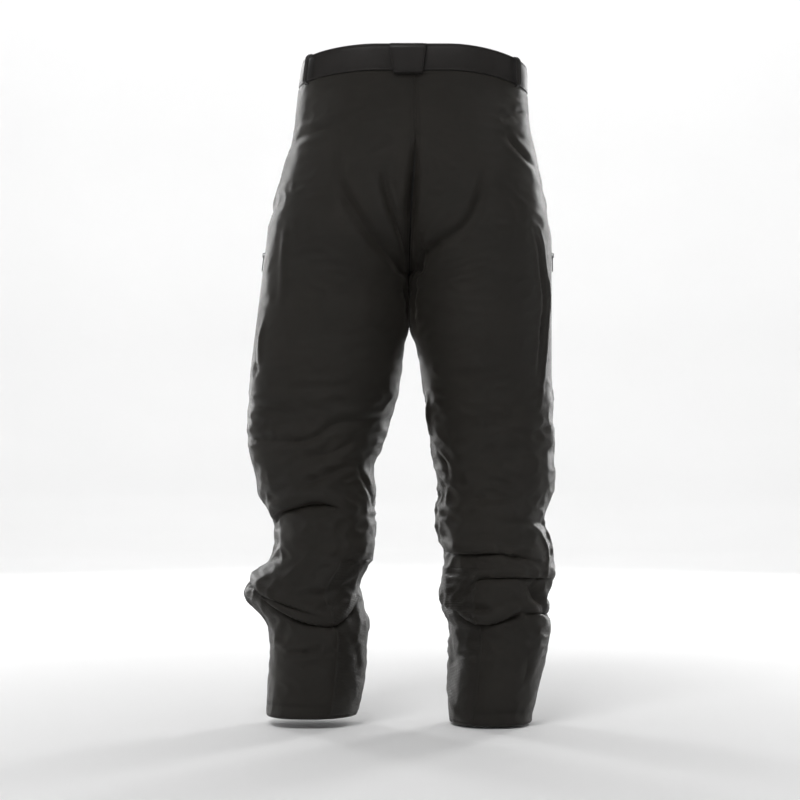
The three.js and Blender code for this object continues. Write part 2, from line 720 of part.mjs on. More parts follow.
// The columns of the waistband from the hinge, round the wearer's left side, the back
// and the right side, and under the tab. Each gives a point for a level and a grow.
function bandColumns() {
  const leftEnd = TAB_HINGE.x - TAB_WALL / 2 - TAB_SLOT;
  const round = (leg, us) => us.map((u) => (level, grow) => smoothPoint(leg, level, u, grow));
  const left = round(LEFT, [uAtX(LEFT, leftEnd), ...BAND_US, 1]);
  const right = round(RIGHT, [1, ...BAND_US.toReversed(), 0]);
  const flat = steps(UNDERLAP.start, UNDERLAP.end, 2).map((x) => (level, grow) => {
    const z = heightOf(RIGHT, level, 0);
    return new THREE.Vector3(x, frontY(z) + grow, z);
  });
  return [...left.slice(0, -1), ...right.slice(1), ...flat];
}

function addWaistband() {
  const columns = bandColumns();
  const skin = (grow) =>
    steps(0, -BAND_HEIGHT, 2).map((level) => columns.map((point) => point(level, grow)));
  const inside = BAND_PROUD - BAND_WALL;
  add("waistband", slab(skin(BAND_PROUD), skin(inside)), "band");
  const facing = slab(skin(inside - GAP), skin(inside - GAP - FACING_WALL));
  add("waistband_facing", facing, "lining");
}

// The hinged end of the waistband with its snaps. Heights are measured as y.
function addTab() {
  const bandFace = frontY(0) + BAND_PROUD;
  const studTop = bandFace + GAP + SNAP.studBase;
  const socketBottom = studTop + GAP;
  const tabBottom = socketBottom + SNAP.socketWall + GAP;
  const tabTop = tabBottom + TAB_WALL;
  const top = -WAIST_DIP_FRONT;
  const bottom = top - BAND_HEIGHT;
  const hinge = new THREE.Vector2(TAB_HINGE.x, bandFace - TAB_HINGE.inset);
  const radius = TAB_WALL / 2;
  const lean = radius * Math.SQRT1_2; // the strap leaves the hinge at 45 degrees
  const rise = (tabTop + tabBottom) / 2 - hinge.y;
  const bend = radius * Math.tan(Math.PI / 8);
  const outline = new THREE.Shape(
    [
      [hinge.x - lean, hinge.y + lean],
      [hinge.x + rise - bend, tabTop],
      [TAB_END, tabTop],
      [TAB_END, tabBottom],
      [hinge.x + rise + bend, tabBottom],
      [hinge.x + lean, hinge.y - lean],
    ].map(([x, y]) => new THREE.Vector2(x, y)),
  );
  const strap = new THREE.ExtrudeGeometry(outline, { depth: BAND_HEIGHT, bevelEnabled: false });
  const root = new THREE.CylinderGeometry(radius, radius, BAND_HEIGHT, 20).rotateX(Math.PI / 2);
  const rounded = new THREE.Shape();
  const r = TAB_CORNER;
  const margin = 2 * TAB_WALL; // the trimming block's reach past the strap
  const start = TAB_HINGE.x - margin;
  rounded.moveTo(start, bottom);
  rounded.lineTo(TAB_END - r, bottom);
  rounded.absarc(TAB_END - r, bottom + r, r, -Math.PI / 2, 0);
  rounded.absarc(TAB_END - r, top - r, r, 0, Math.PI / 2);
  rounded.lineTo(start, top);
  const depth = tabTop - hinge.y + 2 * margin;
  const trim = new THREE.ExtrudeGeometry(rounded, { depth, bevelEnabled: false })
    .rotateX(Math.PI / 2)
    .translate(0, tabTop + margin, 0);
  // That turn sends the outline's y to +Z and the extrusion to -Y.
  const tab = solidOf(strap.translate(0, 0, bottom))
    .add(solidOf(root.translate(hinge.x, hinge.y, (top + bottom) / 2)))
    .intersect(solidOf(trim));
  add("waist_tab", tab, "band");

  const middle = (top + bottom) / 2;
  SNAPS.forEach((x, i) => {
    const name = (piece) => `${piece}_${i + 1}`;
    const { capRadius, capWall, socketRadius, socketBore, studRadius, postRadius } = SNAP;
    const cap = disc(capRadius, x, middle, tabTop + GAP, tabTop + GAP + capWall);
    const socketTop = tabBottom - GAP;
    const bore = disc(socketBore, x, middle, socketBottom - 1, socketTop + 1, 16);
    const socket = disc(socketRadius, x, middle, socketBottom, socketTop).subtract(bore);
    const stud = disc(studRadius, x, middle, bandFace + GAP, studTop).add(
      disc(postRadius, x, middle, studTop - SINK, socketTop - GAP, 16),
    );
    add(name("snap_cap"), cap, "metal");
    add(name("snap_socket"), socket, "metal");
    add(name("snap_stud"), stud, "metal");
  });
}

// ---- Belt loops ---------------------------------------------------------------------

// A strap loop on the waistband. Its frame has x across the strap, y out of the band and
// z up, with the origin on the band's outer face at its top edge.
function addLoop(name, topPoint, bottomPoint, across, topWidth, bottomWidth) {
  const { wall, standoff, overhang, foot, ease, footStep } = LOOP;
  const drop = topPoint.distanceTo(bottomPoint);
  const z = topPoint.clone().sub(bottomPoint).normalize();
  const x = across.clone().addScaledVector(z, -across.dot(z)).normalize();
  const y = new THREE.Vector3().crossVectors(z, x);
  const out = standoff + wall;
  const end = -(drop + overhang);
  const side = new THREE.Shape(
    [
      [GAP, 0], [foot, 0], [out, -ease], [out, end + ease], [foot, end], [GAP, end],
      [GAP, end + wall], [foot - footStep, end + wall], [standoff, end + ease + wall],
      [standoff, -ease - wall], [foot - footStep, -wall], [GAP, -wall],
    ].map(([n, h]) => new THREE.Vector2(n, h)),
  );
  const strap = new THREE.ExtrudeGeometry(side, { depth: 1, bevelEnabled: false });
  const points = strap.attributes.position;
  for (let i = 0; i < points.count; i++) {
    const [n, h, t] = [points.getX(i), points.getY(i), points.getZ(i)];
    const width = THREE.MathUtils.lerp(topWidth, bottomWidth, h / end);
    points.setXYZ(i, (t - 0.5) * width, n, h);
  }
  const mesh = add(name, solidOf(strap), "band");
  mesh.applyMatrix4(new THREE.Matrix4().makeBasis(x, y, z).setPosition(topPoint));
}

// A loop at a place u of one leg's half of the waist, or at x on the flat of the back.
function loopAt(name, leg, u, widths, x = null) {
  const place = (level) => {
    const p = smoothPoint(leg, level, u, BAND_PROUD);
    if (x !== null) p.x = x;
    return p;
  };
  const middle = -BAND_HEIGHT / 2;
  const ahead = smoothPoint(leg, middle, u + LOOP.slopeStep, 0);
  const behind = smoothPoint(leg, middle, u - LOOP.slopeStep, 0);
  // With z up, x has to run so that y = z cross x points away from the wearer.
  const across = ahead.sub(behind).multiplyScalar(leg.side);
  addLoop(name, place(0), place(-BAND_HEIGHT), across, ...widths);
}

function addLoops() {
  const straight = [LOOP.width, LOOP.width];
  const tapered = [BACK_LOOP.topWidth, BACK_LOOP.bottomWidth];
  loopAt("belt_loop_back_centre", LEFT, BACK_LOOP.u, tapered, BACK_LOOP.x);
  for (const leg of LEGS) {
    const side = uAtX(leg, SIDE_LOOP_X, true);
    loopAt(`belt_loop_back_${leg.name}`, leg, side, straight);
    loopAt(`belt_loop_front_${leg.name}`, leg, uAtX(leg, FRONT_LOOP_X), straight);
  }
}

// ---- Assembly -----------------------------------------------------------------------

const fly = flyFrame();
for (const leg of LEGS) addLeg(leg, fly);
addZip("fly_zip", "", fly);
add(
  "fly_shield",
  boxIn(
    fly.matrix,
    [-SHIELD.tail, -SHIELD.width / 2, TAPE_BOTTOM - GAP - SHIELD.wall],
    [fly.length, SHIELD.width / 2, TAPE_BOTTOM - GAP],
  ),
  "lining",
);
addWaistband();
addTab();
addLoops();

export default pants;
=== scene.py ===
"""Insulated ski pants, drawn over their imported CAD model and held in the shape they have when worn.

Everything is worked out in millimetres and scaled by MM when a mesh is made. The garment's surface
is the CAD model's: leg.base(level, u), where level is the distance above the waist edge and u runs
from 0 at the centre front or inseam, through 0.5 at the side seam, to 1 at the centre back or
inseam. A Skin is that surface with its folds, and every sewn piece is a patch of a Skin.
"""

from functools import partial

import bpy
import numpy as np
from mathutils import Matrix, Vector


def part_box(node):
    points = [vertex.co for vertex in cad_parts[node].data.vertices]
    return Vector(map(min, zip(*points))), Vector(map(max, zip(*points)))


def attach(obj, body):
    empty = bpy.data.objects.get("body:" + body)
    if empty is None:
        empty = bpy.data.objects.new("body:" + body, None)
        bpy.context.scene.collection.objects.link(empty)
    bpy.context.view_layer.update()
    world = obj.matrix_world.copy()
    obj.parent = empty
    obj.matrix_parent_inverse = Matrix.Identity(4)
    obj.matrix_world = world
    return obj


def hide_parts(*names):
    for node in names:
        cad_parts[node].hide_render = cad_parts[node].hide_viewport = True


MM = 0.001
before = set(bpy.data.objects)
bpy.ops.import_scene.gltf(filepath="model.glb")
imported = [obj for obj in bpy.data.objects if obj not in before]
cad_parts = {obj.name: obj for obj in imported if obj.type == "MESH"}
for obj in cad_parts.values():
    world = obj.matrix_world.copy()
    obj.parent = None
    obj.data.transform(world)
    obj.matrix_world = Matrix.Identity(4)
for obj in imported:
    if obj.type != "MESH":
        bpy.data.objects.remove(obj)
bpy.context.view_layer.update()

# ---- Sizes, as in the CAD source ---------------------------------------------------------------

WALL = 3.0
GAP = 0.3
CROTCH = -325.0
FRONT_RISE = 105.0
BACK_RISE = 195.0
SPLIT_RAMP = 12.0
WAIST_DIP_FRONT = 18.0
WAIST_LIFT_BACK = 11.0
WAIST_EASE = 180.0
WAIST_LEVEL_U = 0.11
HEM_LIFT_FRONT = 14.0
HEM_EASE = 140.0
KNEE_TOP = -470.0
KNEE_BOTTOM = -655.0
ROUNDNESS = 2.25

BAND_HEIGHT = 39.0
BAND_PROUD = 1.2
HINGE_X, HINGE_INSET = -45.5, 1.0
TAB_END, TAB_WALL = 38.0, 3.0
UNDERLAP_END = -39.5
SNAP_BASE, SOCKET_WALL = 1.0, 2.0

ZIP_SLOT, TAPE_WALL, TAPE_TAIL = 11.0, 1.0, 8.0
CHAIN_WALL = 2.2
FLY_TOP, FLY_BOTTOM = -68.0, -208.0
POCKET_TOP, POCKET_BOTTOM = (-72.0, 0.3), (-212.0, 0.415)
VENT_TOP, VENT_BOTTOM = (-285.0, 0.5), (-452.0, 0.5)
BAG_US, BAG_LEVELS = (0.1875, 0.4375), (-298.0, -62.0)
MESH_HALF_U, MESH_MARGIN = 0.046, 15.0
SHIELD_WIDTH, SHIELD_WALL, SHIELD_TAIL = 46.0, 2.0, 10.0

SCUFF_HEIGHT, SCUFF_WALL, SCUFF_LIFT = 225.0, 1.4, 5.0
SCUFF_FRONT_U, SCUFF_BACK_U = 0.1875, 0.8125
GAITER_HEIGHT, GAITER_LIFT = 215.0, 22.0
GAITER_HALF_WIDTH, GAITER_HALF_DEPTH = 49.0, 66.0
ELASTIC_HEIGHT = 20.0

LOOP_WALL, LOOP_STANDOFF, LOOP_WIDTH, LOOP_OVERHANG = 1.8, 5.9, 11.0, 6.0
BACK_LOOP_X, BACK_LOOP_TOP, BACK_LOOP_BOTTOM = -8.0, 55.0, 42.0
FRONT_LOOP_X, SIDE_LOOP_X = 70.0, 148.0

# ---- Sizes of this drawing's own ---------------------------------------------------------------

GIRTH = 640.0  # a leg's usual length round, for turning a distance into a u
UNDERLAP_START = -2.5  # where the band's flat end begins
BAND_FRONT_U, BAND_BACK_U = 0.004, 0.9985
SNAPS = (1, 2)


def packed_box(node):
    """A CAD node's lowest and highest corners, in millimetres."""
    return np.array(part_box(node)) / MM


# ---- The garment's surface, as in the CAD source -----------------------------------------------


def smooth(t):
    """0 below 0, 1 above 1 and an S-curve between them."""
    t = np.clip(t, 0.0, 1.0)
    return t * t * (3.0 - 2.0 * t)


class Profile:
    """A smooth curve through (at, value) points that never overshoots them."""

    def __init__(self, *points):
        self.x, self.y = np.array(sorted(points), float).T
        rate = np.diff(self.y) / np.diff(self.x)
        before, after = np.append(0.0, rate), np.append(rate, 0.0)
        total = np.where(before * after > 0, before + after, 1.0)
        self.slope = np.where(before * after > 0, 2 * before * after / total, 0.0)

    def __call__(self, at):
        at = np.clip(at, self.x[0], self.x[-1])
        i = np.clip(np.searchsorted(self.x, at, side="right") - 1, 0, len(self.x) - 2)
        span = self.x[i + 1] - self.x[i]
        t = (at - self.x[i]) / span
        rise = self.y[i + 1] - self.y[i]
        bend = self.slope[i] * (1 - t) - self.slope[i + 1] * t
        return self.y[i] + rise * t * t * (3 - 2 * t) + span * t * (1 - t) * bend


front_y = Profile(
    (30, 104), (-60, 104), (-85, 105.2), (-200, 111), (-330, 107),
    (-450, 106), (-570, 114), (-650, 104), (-750, 86), (-850, 70), (-1000, 56),
)
back_y = Profile(
    (30, -110), (-45, -110), (-120, -131), (-180, -139), (-240, -138), (-330, -121),
    (-450, -94), (-570, -68), (-650, -78), (-750, -98), (-850, -106), (-1000, -104),
)
front_share = Profile((0, 0.33), (-60, 0.33), (-215, 0.37), (-330, 0.48), (-420, 0.5))
back_share = Profile((0, 0.33), (-45, 0.33), (-170, 0.44), (-330, 0.5))
sway = Profile((0, 0), (-130, 3), (-230, -3), (-320, -6), (-600, -6), (-1000, -3))

ARC_STEPS = 40
SECTION_POINTS = 385
SECTION_STEP = 2.0


def quarter(a, b, flip, exponent):
    """A quarter of a superellipse that leaves a along y, or along x when flipped."""
    turn = np.linspace(0, np.pi / 2, ARC_STEPS + 1)
    c = np.clip(np.cos(turn), 0, 1) ** (2 / exponent)
    s = np.sin(turn) ** (2 / exponent)
    if flip:
        return np.stack([a[0] + (b[0] - a[0]) * s, b[1] + (a[1] - b[1]) * c], -1)
    return np.stack([b[0] + (a[0] - b[0]) * c, a[1] + (b[1] - a[1]) * s], -1)


def travelled(line):
    """How far along a line of points each one lies."""
    return np.append(0, np.cumsum(np.linalg.norm(np.diff(line, axis=0), axis=1)))


def read_along(values, travel, at):
    """Rows of values that lie at the distances travel, read at other distances."""
    return np.stack([np.interp(at, travel, values[:, k]) for k in range(values.shape[1])], -1)


def evenly(line, count):
    """A line of points resampled to evenly spaced ones."""
    travel = travelled(line)
    return read_along(line, travel, np.linspace(0, travel[-1], count))


def smooth_line(points, per_run=6):
    """A Catmull-Rom curve through points."""
    points = np.asarray(points, float)
    padded = np.vstack([2 * points[0] - points[1], points, 2 * points[-1] - points[-2]])
    t = np.linspace(0, 1, per_run, endpoint=False)[:, None]
    runs = []
    for a, b, c, d in zip(padded, padded[1:], padded[2:], padded[3:]):
        square, cube = 2 * a - 5 * b + 4 * c - d, 3 * b - a - 3 * c + d
        runs.append(0.5 * (2 * b + (c - a) * t + square * t**2 + cube * t**3))
    return np.vstack([*runs, points[-1:]])


class Leg:
    """One leg with its half of the seat and waist. Its left and right are the wearer's."""

    def __init__(self, name, side, waist_dip, hem, outer, inner):
        self.name, self.side, self.waist_dip, self.hem = name, side, waist_dip, hem
        self.outer, self.inner = outer, inner
        self.heights = np.arange(hem - 20, 40, SECTION_STEP)
        self.sections = np.array([self.section(z) for z in self.heights])

    def section(self, z):
        """Evenly spaced (distance from the centre, y) points round half the garment at a height."""
        inner = GAP / 2 + smooth((CROTCH - z) / SPLIT_RAMP) * self.inner(z)
        outer, front, back = self.outer(z), front_y(z), back_y(z)
        middle = (front + back) / 2

        def seam_reach(rise):
            return np.sqrt(1 - (1 - np.clip((z - CROTCH) / rise, 0, 1)) ** 2)

        start = (inner, middle + (front - middle) * seam_reach(FRONT_RISE))
        foremost = (inner + (outer - inner) * front_share(z), front)
        outermost = (outer, middle)
        rearmost = (inner + (outer - inner) * back_share(z), back)
        end = (inner, middle + (back - middle) * seam_reach(BACK_RISE))
        front_half = [quarter(start, foremost, False, 2), quarter(foremost, outermost, True, ROUNDNESS)]
        back_half = [quarter(outermost, rearmost, False, ROUNDNESS), quarter(rearmost, end, True, 2)]
        half = SECTION_POINTS // 2 + 1
        return np.vstack([evenly(np.vstack(front_half), half), evenly(np.vstack(back_half), half)[1:]])

    def height(self, level, u):
        """Levels slant at the waist and over the instep."""
        centre = np.where(u < 0.5, -WAIST_DIP_FRONT, WAIST_LIFT_BACK)
        from_side = np.abs(u - 0.5) / (0.5 - WAIST_LEVEL_U)
        waist = -self.waist_dip + (centre + self.waist_dip) * smooth(from_side)
        near_waist = smooth((level + BAND_HEIGHT + WAIST_EASE) / WAIST_EASE)
        instep = np.where(u < 0.5, np.sin(2 * np.pi * u) ** 2, 0.0)
        near_hem = smooth((self.hem + HEM_EASE - level) / HEM_EASE)
        return level + waist * near_waist + HEM_LIFT_FRONT * instep * near_hem

    def base(self, level, u):
        """Points of the smooth surface, without folds."""
        level, u = np.broadcast_arrays(np.asarray(level, float), np.asarray(u, float))
        z = self.height(level, u)
        row = np.clip((z - self.heights[0]) / SECTION_STEP, 0, len(self.heights) - 1.001)
        column = np.clip(u * (SECTION_POINTS - 1), 0, SECTION_POINTS - 1.001)
        i, j = row.astype(int), column.astype(int)
        up, across = (row - i)[..., None], (column - j)[..., None]
        low = self.sections[i, j] * (1 - across) + self.sections[i, j + 1] * across
        high = self.sections[i + 1, j] * (1 - across) + self.sections[i + 1, j + 1] * across
        xy = low * (1 - up) + high * up
        shift = sway(z) * (1 - xy[..., 0] / self.outer(z))
        return np.stack([self.side * xy[..., 0] + shift, xy[..., 1], z], -1)

    def girth(self, level):
        """Length of the section at a level, centre front to centre back."""
        ring = self.base(level, np.linspace(0, 1, 97))
        return float(travelled(ring)[-1])


LEFT = Leg(
    "left", -1, 4.0, -978.0,
    Profile(
        (30, 160), (0, 163), (-60, 173), (-110, 178), (-200, 203), (-285, 220), (-370, 231),
        (-455, 242), (-560, 249), (-640, 234), (-705, 206), (-735, 209), (-800, 247),
        (-855, 213), (-1000, 219),
    ),
    Profile(
        (-325, 1.5), (-400, 2.5), (-450, 9), (-500, 17), (-560, 34), (-612, 53),
        (-735, 51), (-790, 76), (-850, 66), (-930, 71), (-1000, 84),
    ),
)
RIGHT = Leg(
    "right", 1, 13.0, -988.0,
    Profile(
        (30, 165), (0, 168), (-60, 171), (-110, 176), (-160, 187), (-220, 197), (-290, 207),
        (-470, 208), (-520, 212), (-640, 212), (-690, 196), (-755, 212), (-810, 200),
        (-850, 204), (-900, 196), (-1000, 176),
    ),
    Profile(
        (-325, 1.5), (-400, 3), (-450, 14), (-500, 22), (-560, 28), (-650, 41),
        (-700, 39), (-740, 51), (-810, 45), (-860, 61), (-1000, 55),
    ),
)
LEGS = (LEFT, RIGHT)


# ---- Zip frames, as in the CAD source ----------------------------------------------------------


def unit(v):
    """Directions made one long."""
    return v / np.linalg.norm(v, axis=-1, keepdims=True)


class Zip:
    """A straight zip: x runs up along it, z out of the fabric, from its slot's lower end."""

    def __init__(self, prefix, suffix, bottom, top, outward):
        self.prefix, self.suffix = prefix, suffix
        self.origin = bottom
        self.x = unit(top - bottom)
        self.z = unit(outward - self.x * np.dot(outward, self.x))
        self.y = np.cross(self.z, self.x)
        self.length = float(np.linalg.norm(top - bottom))

    def local(self, points):
        """Points in the zip's own axes."""
        return (points - self.origin) @ np.stack([self.x, self.y, self.z], -1)

    def world(self, local):
        return self.origin + np.asarray(local, float) @ np.stack([self.x, self.y, self.z])

    def node(self, piece):
        return f"{self.prefix}_{piece}{self.suffix}"


def leg_zip(prefix, leg, bottom, top):
    """The zip whose slot ends at two (level, u) places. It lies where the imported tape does."""
    low, high = packed_box(f"{prefix}_tape_{leg.name}")
    a, b = leg.base(*bottom), leg.base(*top)
    middle = [(s + t) / 2 for s, t in zip(bottom, top)]
    around = leg.base(middle[0], middle[1] + np.array([-0.01, 0.01]))
    upward = leg.base(middle[0] + np.array([-5.0, 5.0]), middle[1])
    outward = np.cross(upward[1] - upward[0], around[1] - around[0]) * leg.side
    made = Zip(prefix, f"_{leg.name}", a, b, outward)
    tape_middle = made.world([made.length / 2, 0, -(WALL + GAP + TAPE_WALL / 2)])
    made.origin = made.origin + (low + high) / 2 - tape_middle
    return made


def fly_zip():
    """The zip down the centre front, whose face looks straight ahead."""
    x = float(sway((FLY_TOP + FLY_BOTTOM) / 2))
    bottom = np.array([x, float(front_y(FLY_BOTTOM)), FLY_BOTTOM])
    top = np.array([x, float(front_y(FLY_TOP)), FLY_TOP])
    return Zip("fly_zip", "", bottom, top, np.array([0.0, 1.0, 0.0]))


FLY = fly_zip()
POCKETS = {leg.name: leg_zip("pocket_zip", leg, POCKET_BOTTOM, POCKET_TOP) for leg in LEGS}
VENTS = {leg.name: leg_zip("vent_zip", leg, VENT_BOTTOM, VENT_TOP) for leg in LEGS}


# ---- Folds -------------------------------------------------------------------------------------
# A stroke is drawn over (u, level) places of one leg, and each kind is a cross-section:
# heights are out of the fabric, and widths are half the stroke's. A ridge of negative height is a
# soft valley.

FOLD_STRENGTH = 1.35


class Stroke:
    SMOOTHING = 8

    def __init__(self, kind, depth, width, *places):
        self.kind, self.depth, self.width = kind, depth, width
        self.places = np.array(places, float)

    def line(self, girth):
        """The stroke's places as a smooth line of points in millimetres."""
        return smooth_line(self.places * [girth, 1], self.SMOOTHING)

    def add_to(self, leg, level, u, out, down):
        """Adds the stroke's heights and downward shifts to the fields out and down."""
        girth = leg.girth(self.places[:, 1].mean())
        line = self.line(girth)
        reach = 4 * self.width
        for turn in (-1, 0, 1):
            s = (u + turn) * girth
            near = (s > line[:, 0].min() - reach) & (s < line[:, 0].max() + reach)
            near &= (level > line[:, 1].min() - reach) & (level < line[:, 1].max() + reach)
            if turn:
                near &= level < CROTCH
            if near.any():
                height, shift = self.section(*nearest(line, s[near], level[near]))
                out[near] += height
                down[near] += shift

    def section(self, distance, rise, share):
        """Heights and downward shifts at distances from the stroke's line."""
        strength = FOLD_STRENGTH * self.depth * np.sin(np.pi * np.clip(share, 0.015, 0.985)) ** 0.7
        x = distance / self.width
        if self.kind == "ridge":
            return strength * np.exp(-x * x), 0
        if self.kind == "crease":
            shoulder = 0.4 * np.exp(-1.3 * (np.abs(x) - 1.6) ** 2)
            valley = 0.45 * np.exp(-x * x) + 0.55 * np.exp(-np.abs(x) * 3.2)
            return strength * (shoulder - valley), 0
        x = x * np.where(rise < 0, -1, 1)  # a lap: a bulge above that hangs over a sharp valley
        bulge = 0.75 * np.exp(-(((x - 1.15) / 0.85) ** 2))
        valley = 0.4 * np.exp(-(((x + 0.3) / 0.8) ** 2)) + 0.6 * np.exp(-(((x + 0.05) / 0.32) ** 2))
        lip = 0.9 * np.exp(-(((x - 0.55) / 0.55) ** 2))
        return strength * (bulge - valley), strength * lip


def nearest(line, s, level):
    """Distance from each point to a line, how far it lies above it, and where along it."""
    best = np.full(s.shape, np.inf)
    rise, share = np.zeros(s.shape), np.zeros(s.shape)
    for i, (a, b) in enumerate(zip(line, line[1:])):
        run = b - a
        t = np.clip(((s - a[0]) * run[0] + (level - a[1]) * run[1]) / (run @ run), 0, 1)
        away = np.hypot(s - a[0] - t * run[0], level - a[1] - t * run[1])
        closer = away < best
        best = np.where(closer, away, best)
        rise = np.where(closer, level - a[1] - t * run[1], rise)
        share = np.where(closer, (i + t) / (len(line) - 1), share)
    return best, rise, share


crease, lap, ridge = (partial(Stroke, kind) for kind in ("crease", "lap", "ridge"))

